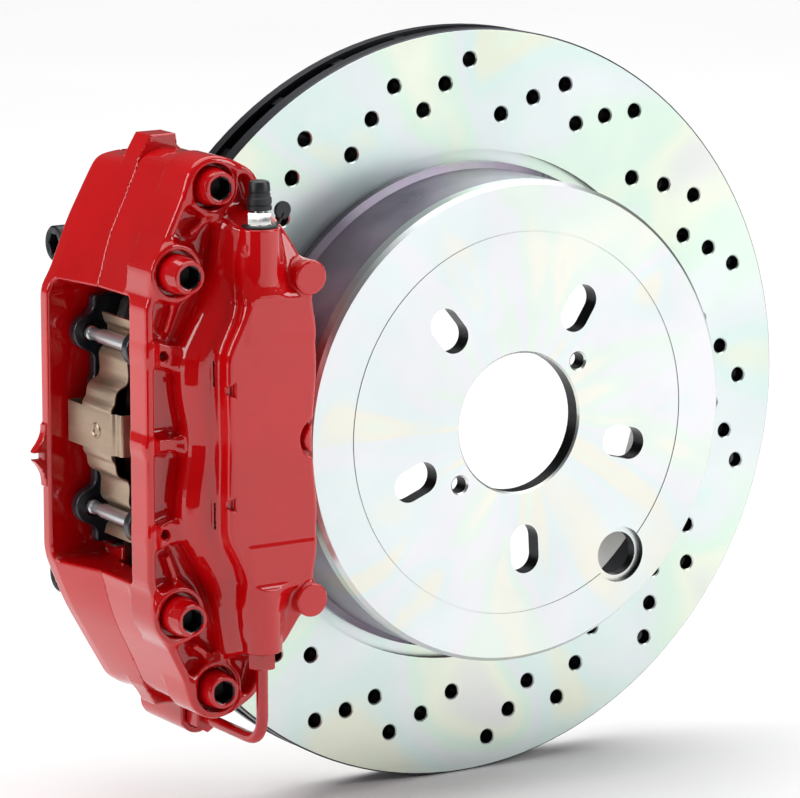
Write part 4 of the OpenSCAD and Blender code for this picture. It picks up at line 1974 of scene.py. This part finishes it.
@dataclass
class PinsAndSpring:
    """The two pad pins, and the cross of spring strip that presses on the pads."""

    pin_r: float = 3.0
    waist_r: float = 2.5
    pin_start: float = 13.0
    waist: tuple[float, float] = (55.4, 62.5)
    pin_end: float = 83.6
    strip_t: float = 0.8
    arm_width: float = 24.0
    plate_x: float = -168.0
    plate_half: float = 8.5
    plate_ends: tuple[float, float] = (27.5, 70.0)
    arm: tuple = (
        (-168, 0), (-168, 10.2), (-166.4, 12.0), (-165.6, 17.2), (-160.6, 19.6),
        (-159.8, 22.5), (-160.4, 30.0), (-156.4, 33.0), (-156.2, 40.6), (-157.6, 41.8),
        (-158.6, 45.6),
    )

    def pin(self) -> Surface:
        """One pin: plain, with a waist where it passes through the hub-side pad.

        Returns:
            The closed surface.
        """
        low, high = self.waist
        profile = [
            (0, self.pin_start),
            (self.pin_r - 0.6, self.pin_start),
            (self.pin_r, self.pin_start + 0.6),
            (self.pin_r, low - 0.6),
            (self.waist_r, low),
            (self.waist_r, high),
            (self.pin_r, high + 0.5),
            (self.pin_r, self.pin_end - 0.8),
            (self.pin_r - 0.7, self.pin_end),
            (0, self.pin_end),
        ]
        return turned(profile, Axis.Y, 48).moved(PIN_SPOT[0], 0, PIN_SPOT[1])

    def strip(self, path: np.ndarray, width: float, side: Sequence[float]) -> Surface:
        """A flat strip along a path, with rounded edges.

        Args:
            path: the middle of the strip, in mm.
            width: its width, in mm.
            side: the direction of its width.

        Returns:
            The closed surface.
        """
        t, w, r = self.strip_t / 2, width / 2, 0.25
        section = rounded_outline([(-w, -t), (w, -t), (w, t), (-w, t)], r, 3)
        return swept(path, section, side)

    def spring(self) -> Surface:
        """The spring: one strip over both arms, and a plate across it with its ends turned in.

        Returns:
            The closed surface.
        """
        half = [(x, 45.0, z) for x, z in self.arm]
        corners = [(x, y, -z) for x, y, z in reversed(half[1:])] + half[1:]
        arms = self.strip(rounded_path(corners, 2.2), self.arm_width, (0, 1, 0))
        low, high = self.plate_ends
        x = self.plate_x
        across = [
            (x + 6, high, 0), (x, high - 0.4, 0), (x - 0.05, 57, 0), (x - 0.05, 33, 0),
            (x + 1.7, 31.6, 0), (x + 1.7, low + 0.4, 0), (x + 6, low, 0),
        ]
        plate = self.strip(rounded_path(across, 1.0), 2 * self.plate_half, (0, 0, 1))
        return joined([arms, plate])

    def rivet(self) -> Surface:
        """The hollow rivet in the middle: a rolled rim round a dished face.

        Returns:
            The closed surface.
        """
        x = self.plate_x
        profile = [
            (0, x + 0.4), (1.6, x + 0.2), (2.1, x - 0.9), (2.6, x - 1.2), (3.1, x - 0.9),
            (3.3, x - 0.45), (3.0, x - 0.3), (3.0, x + 1.2), (0, x + 1.2),
        ]
        return turned(profile, Axis.X, 48).moved(0, 45, 0)

    def build(self) -> None:
        """Makes the pins, the spring and its rivet."""
        pins = joined(both_sides(self.pin())).moved(0, 0, CALIPER_RISE)
        make_piece("pad_pin_pair", pins, GROUND_STEEL, "caliper", ["pad_pins"])
        for name, surface, node in (
            ("pad_spring_cross", self.spring(), "pad_spring"),
            ("spring_hollow_rivet", self.rivet(), "spring_rivet"),
        ):
            surface = surface.moved(0, 0, CALIPER_RISE)
            make_piece(name, surface, TEMPERED_STRIP, "caliper", [node])


@dataclass
class Hydraulics:
    """Bleed screws with their caps and tethers, the crossover pipe with its nuts, and the plug."""

    pipe_r: float = 2.4
    pipe_bend: float = 12.0
    pipe_end: float = 53.0
    hexagon_r: float = 5.2
    nut_r: float = 6.0
    tether_reach: float = 10.4
    tether_rise: float = 6.0

    def bleed_screw(self) -> Surface:
        """A bleed screw standing on its port's face: thread, washer, hexagon and hose nipple.

        Returns:
            The closed surface.
        """
        r = self.hexagon_r
        thread = [(3.45 - 0.4 * (i % 2), -11.5 + 0.5 * i) for i in range(22)]
        profile = [
            (0, -12), (2.8, -12), *thread, (3.4, 0), (4.7, 0), (4.7, 1.1), (r - 0.35, 1.1, 1),
            (r, 1.5, 1), (r, 5.7, 1), (r - 0.35, 6.2, 1), (2.6, 6.25), (2.6, 12), (3.3, 12.6),
            (3.3, 13.4), (2.3, 15), (0, 15),
        ]
        return turned(profile, Axis.Z, 48)

    def cap(self) -> Surface:
        """The rubber cap: three ribs round its skirt, a neck, and a rounded top.

        Returns:
            The closed surface.
        """
        profile = [
            (0, 16), (3.2, 16), (3.6, 15.4), (3.6, 6.9), (4.6, 6.9), (4.9, 7.2), (4.9, 8.6),
            (4.55, 8.9), (4.55, 9.2), (4.9, 9.5), (4.9, 11.7), (4.4, 12.3), (4.4, 13.5),
            (4.1, 13.8), (4.1, 14.2), (4.4, 14.5), (4.15, 17.5), (3.7, 18.3), (2.8, 18.7),
            (0, 18.7),
        ]
        return turned(profile, Axis.Z, 48)

    def tether(self) -> Surface:
        """A flat ring under the hexagon, with a tongue that ends in a small upright disc.

        Returns:
            The closed surface.
        """
        reach, rise = self.tether_reach, self.tether_rise
        ring = [(4.75, 0.1), (4.9, 0), (6.9, 0), (7.2, 0.3), (7.2, 0.8), (6.9, 1.1), (4.9, 1.1),
                (4.75, 1.0), (4.75, 0.1)]
        disc = [(0, -1), (3.2, -1), (3.6, -0.7), (3.6, 0.3), (3.2, 0.6), (0, 0.6)]
        tongue = rounded_path([(6.4, -0.2, 0.55), (8.4, -0.2, 0.9), (reach, -0.2, rise - 1)], 1.5)
        bar = rounded_outline([(-0.8, -0.5), (0.8, -0.5), (0.8, 0.5), (-0.8, 0.5)], 0.2, 3)
        return joined([
            turned(ring, Axis.Z, 48),
            turned(disc, Axis.Y, 36).moved(reach, 0, rise),
            swept(tongue, bar, (0, 1, 0)),
        ])

    def pipe(self) -> Surface:
        """The crossover pipe: down from the wheel side's port, round, and back to the hub side.

        Returns:
            The closed surface.
        """
        (x, y), (_, low) = PORT_SPOT, PIPE_SPOT
        corners = [(x, y, -PORT_TOP), (x, y, low), (x, self.pipe_end, low)]
        angle = np.arange(24) * 2 * math.pi / 24
        ring = self.pipe_r * np.column_stack([np.cos(angle), np.sin(angle)])
        return swept(rounded_path(corners, self.pipe_bend), ring, (1, 0, 0))

    def nuts(self) -> Surface:
        """The two flare nuts: one under the port, one with its nipple in the hub-side boss.

        Returns:
            The closed surface.
        """
        bore, r = self.pipe_r + 0.02, self.nut_r
        top, seat = -PORT_TOP, SPLIT_Y
        upper = [(bore, top - 7), (r - 0.9, top - 7, 1), (r, top - 6.3, 1), (r, top - 0.6, 1),
                 (r - 0.8, top, 1), (bore, top), (bore, top - 7)]
        lower = [(bore, seat - 9), (r - 0.9, seat - 9, 1), (r, seat - 8.3, 1), (r, seat - 0.6, 1),
                 (r - 0.8, seat, 1), (4.9, seat), (4.9, seat + 8), (bore, seat + 8),
                 (bore, seat - 9)]
        return joined([
            turned(upper, Axis.Z, 48).moved(PORT_SPOT[0], PORT_SPOT[1], 0),
            turned(lower, Axis.Y, 48).moved(PIPE_SPOT[0], 0, PIPE_SPOT[1]),
        ])

    def plug(self) -> Surface:
        """The plug in the fluid inlet: a plain spigot under a dished head.

        Returns:
            The closed surface.
        """
        profile = [
            (0, 92), (4.0, 92), (4.45, 92.5), (4.45, 101), (6.3, 101), (6.5, 101.3),
            (6.5, 103.5), (6.1, 104), (4.6, 104), (4.2, 103.3), (0, 103.3),
        ]
        return turned(profile, Axis.Y, 48).moved(-117, 0, 0)

    def build(self) -> None:
        """Makes every hydraulic piece."""
        outer = (*PORT_SPOT, PORT_TOP + CALIPER_RISE)
        inner = (*INNER_PORT, PORT_TOP + CALIPER_RISE)
        for side, spot in (("outer", outer), ("inner", inner)):
            make_piece(
                f"{side}_bleeder",
                self.bleed_screw().moved(*spot),
                ZINC_STEEL,
                f"{side}_bleeder",
                [f"{side}_bleed_screw"],
            )
            make_piece(
                f"{side}_rubber_cap",
                self.cap().moved(*spot),
                EPDM,
                f"{side}_cap",
                [f"{side}_bleed_cap"],
            )
        tethers = joined([self.tether().moved(*outer), self.tether().moved(*inner)])
        make_piece("tether_pair", tethers, EPDM, "caliper", ["cap_tethers"])
        for name, surface, finish, body, node, slot in (
            ("brake_pipe", self.pipe(), RED_SCREW, "caliper", "crossover_pipe", "red_paint"),
            ("flare_nuts", self.nuts(), RED_SCREW, "caliper", "pipe_nuts", "red_paint"),
            ("inlet_cap", self.plug(), YELLOW_CAP, "plug", "inlet_plug", "yellow_plug"),
        ):
            surface = surface.moved(0, 0, CALIPER_RISE)
            make_piece(name, surface, finish, body, [node])


# ---------------------------------------------------------------- finishes of the CAD nodes


@dataclass(frozen=True)
class NodeFinishes:
    """Which finish each CAD node that stays visible gets."""

    pairs: tuple = (
        ("disc_hat", TURNED_ZINC),
        ("disc_drum", CAST_ZINC),
        ("disc_ring", GROUND_ZINC),
        ("mounting_washers", ZINC_STEEL),
        ("outer_pistons", ANODISED),
        ("inner_pistons", ANODISED),
        ("piston_seals", EPDM),
        ("dust_boots", EPDM),
        ("outer_pad_shim", GROUND_STEEL),
        ("inner_pad_shim", GROUND_STEEL),
        ("pin_sleeves", ZINC_STEEL),
        ("abutment_plates", ZINC_STEEL),
        ("abutment_screws", BLACK_OXIDE),
    )

    def dress(self) -> None:
        """Assigns the finishes to the nodes' material slots."""
        for name, finish in self.pairs:
            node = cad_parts[name]
            for slot in node.material_slots:
                slot.material = finish.material()
            log.info("%s: CAD node in %s", name, finish.title)


# ---------------------------------------------------------------- studio


@dataclass
class Studio:
    """Plain floor, soft boxes and the camera. Lengths here are in metres."""

    floor_z: float = -0.1581
    card_middle: tuple = (-0.72, -0.46, 0.0)
    card_along: tuple = (0.49, -0.807, 0.0)
    card_half: float = 0.42
    card_top: float = 0.16
    dome_tilt: tuple = (-12.0, 10.0)
    world_dim: float = 0.1
    world_seen: float = 1.0
    sensor: float = 36.0
    far_clip: float = 50.0
    floor_reach: float = 20.0
    eye: tuple = (-1.07269, -1.64590, 0.40151)
    azimuth: float = -31.78
    elevation: float = 11.31
    lens: float = 219.07
    dome_power: float = 2.9
    dome_angle: float = 80.0
    boxes: tuple = (
        # name, place, what it points at, width, height, watts
        ("right_box", (1.9, -1.9, 1.2), (0.0, 0.0, 0.0), 1.6, 1.4, 34.0),
        ("left_box", (-2.3, 0.5, 1.0), (-0.1, 0.0, 0.0), 1.4, 1.2, 28.0),
    )

    def plane(self, name: str, corners: Sequence, finish: Finish) -> bpy.types.Object:
        """A staged rectangle.

        Args:
            name: its name.
            corners: its four corners, in metres.
            finish: its finish.

        Returns:
            The new object.
        """
        mesh = bpy.data.meshes.new(name)
        mesh.from_pydata([tuple(c) for c in corners], [], [(0, 1, 2, 3)])
        mesh.materials.append(finish.material())
        plane = bpy.data.objects.new(name, mesh)
        bpy.context.scene.collection.objects.link(plane)
        return plane

    def floor(self) -> None:
        """The pale floor that the disc and the caliper stand over."""
        r, z = self.floor_reach, self.floor_z
        corners = [(-r, -r, z), (r, -r, z), (r, r, z), (-r, r, z)]
        self.plane("floor", corners, PALE_FLOOR)

    def card(self) -> None:
        """A black card at the left front, which keeps the slopes beside the bulge a deep red."""
        middle = Vector(self.card_middle)
        along = Vector(self.card_along).normalized() * self.card_half
        low, high = Vector((0, 0, self.floor_z)), Vector((0, 0, self.card_top))
        corners = [middle - along + low, middle + along + low,
                   middle + along + high, middle - along + high]
        card = self.plane("black_card", corners, BLACK_CARD)
        card.visible_camera = False
        card.visible_diffuse = False
        card.visible_shadow = False

    def lights(self) -> None:
        """The overhead dome, which lights the floor evenly, and the soft boxes."""
        dome = bpy.data.lights.new("dome", "SUN")
        dome.energy, dome.angle = self.dome_power, math.radians(self.dome_angle)
        over = bpy.data.objects.new("dome", dome)
        tilt_x, tilt_y = (math.radians(a) for a in self.dome_tilt)
        over.rotation_euler = (tilt_x, tilt_y, 0)
        bpy.context.scene.collection.objects.link(over)
        for name, place, target, width, height, watts in self.boxes:
            light = bpy.data.lights.new(name, "AREA")
            light.shape, light.size, light.size_y = "RECTANGLE", width, height
            light.energy = watts
            lamp = bpy.data.objects.new(name, light)
            lamp.location = place
            aim = Vector(target) - Vector(place)
            lamp.rotation_euler = aim.to_track_quat("-Z", "Y").to_euler()
            bpy.context.scene.collection.objects.link(lamp)

    def world(self) -> None:
        """A white backdrop, which lights the object only dimly."""
        world = bpy.data.worlds.new("studio")
        bpy.context.scene.world = world
        world.use_nodes = True
        tree = world.node_tree
        tree.nodes.clear()
        dim, white = (
            add(tree, "ShaderNodeBackground", {"Color": (1, 1, 1, 1), "Strength": strength})
            for strength in (self.world_dim, self.world_seen)
        )
        seen = add(tree, "ShaderNodeLightPath").outputs["Is Camera Ray"]
        both = add(
            tree,
            "ShaderNodeMixShader",
            links={0: seen, 1: dim.outputs[0], 2: white.outputs[0]},
        )
        add(tree, "ShaderNodeOutputWorld", links={"Surface": both.outputs[0]})
        bpy.context.scene.view_settings.view_transform = "Standard"

    def camera(self) -> None:
        """The camera, level from side to side."""
        turn, rise = math.radians(self.azimuth), math.radians(self.elevation)
        ahead = Vector(
            (-math.sin(turn) * math.cos(rise), math.cos(turn) * math.cos(rise), -math.sin(rise))
        )
        data = bpy.data.cameras.new("camera")
        data.lens, data.sensor_width = self.lens, self.sensor
        data.clip_end = self.far_clip
        camera = bpy.data.objects.new("camera", data)
        camera.location = self.eye
        camera.rotation_euler = ahead.to_track_quat("-Z", "Y").to_euler()
        bpy.context.scene.collection.objects.link(camera)
        bpy.context.scene.camera = camera

    def build(self) -> None:
        """Sets the whole studio up."""
        self.camera()
        self.floor()
        self.card()
        self.lights()
        self.world()


def main() -> None:
    """Builds every sub-assembly in order."""
    logging.basicConfig(level=logging.INFO, format="%(name)s: %(message)s")
    Studio().build()
    NodeFinishes().dress()
    Castings(OuterCasting(), InnerCasting()).build()
    Screws().build()
    Pads().build()
    PinsAndSpring().build()
    Hydraulics().build()


if __name__ == "__main__":
    main()
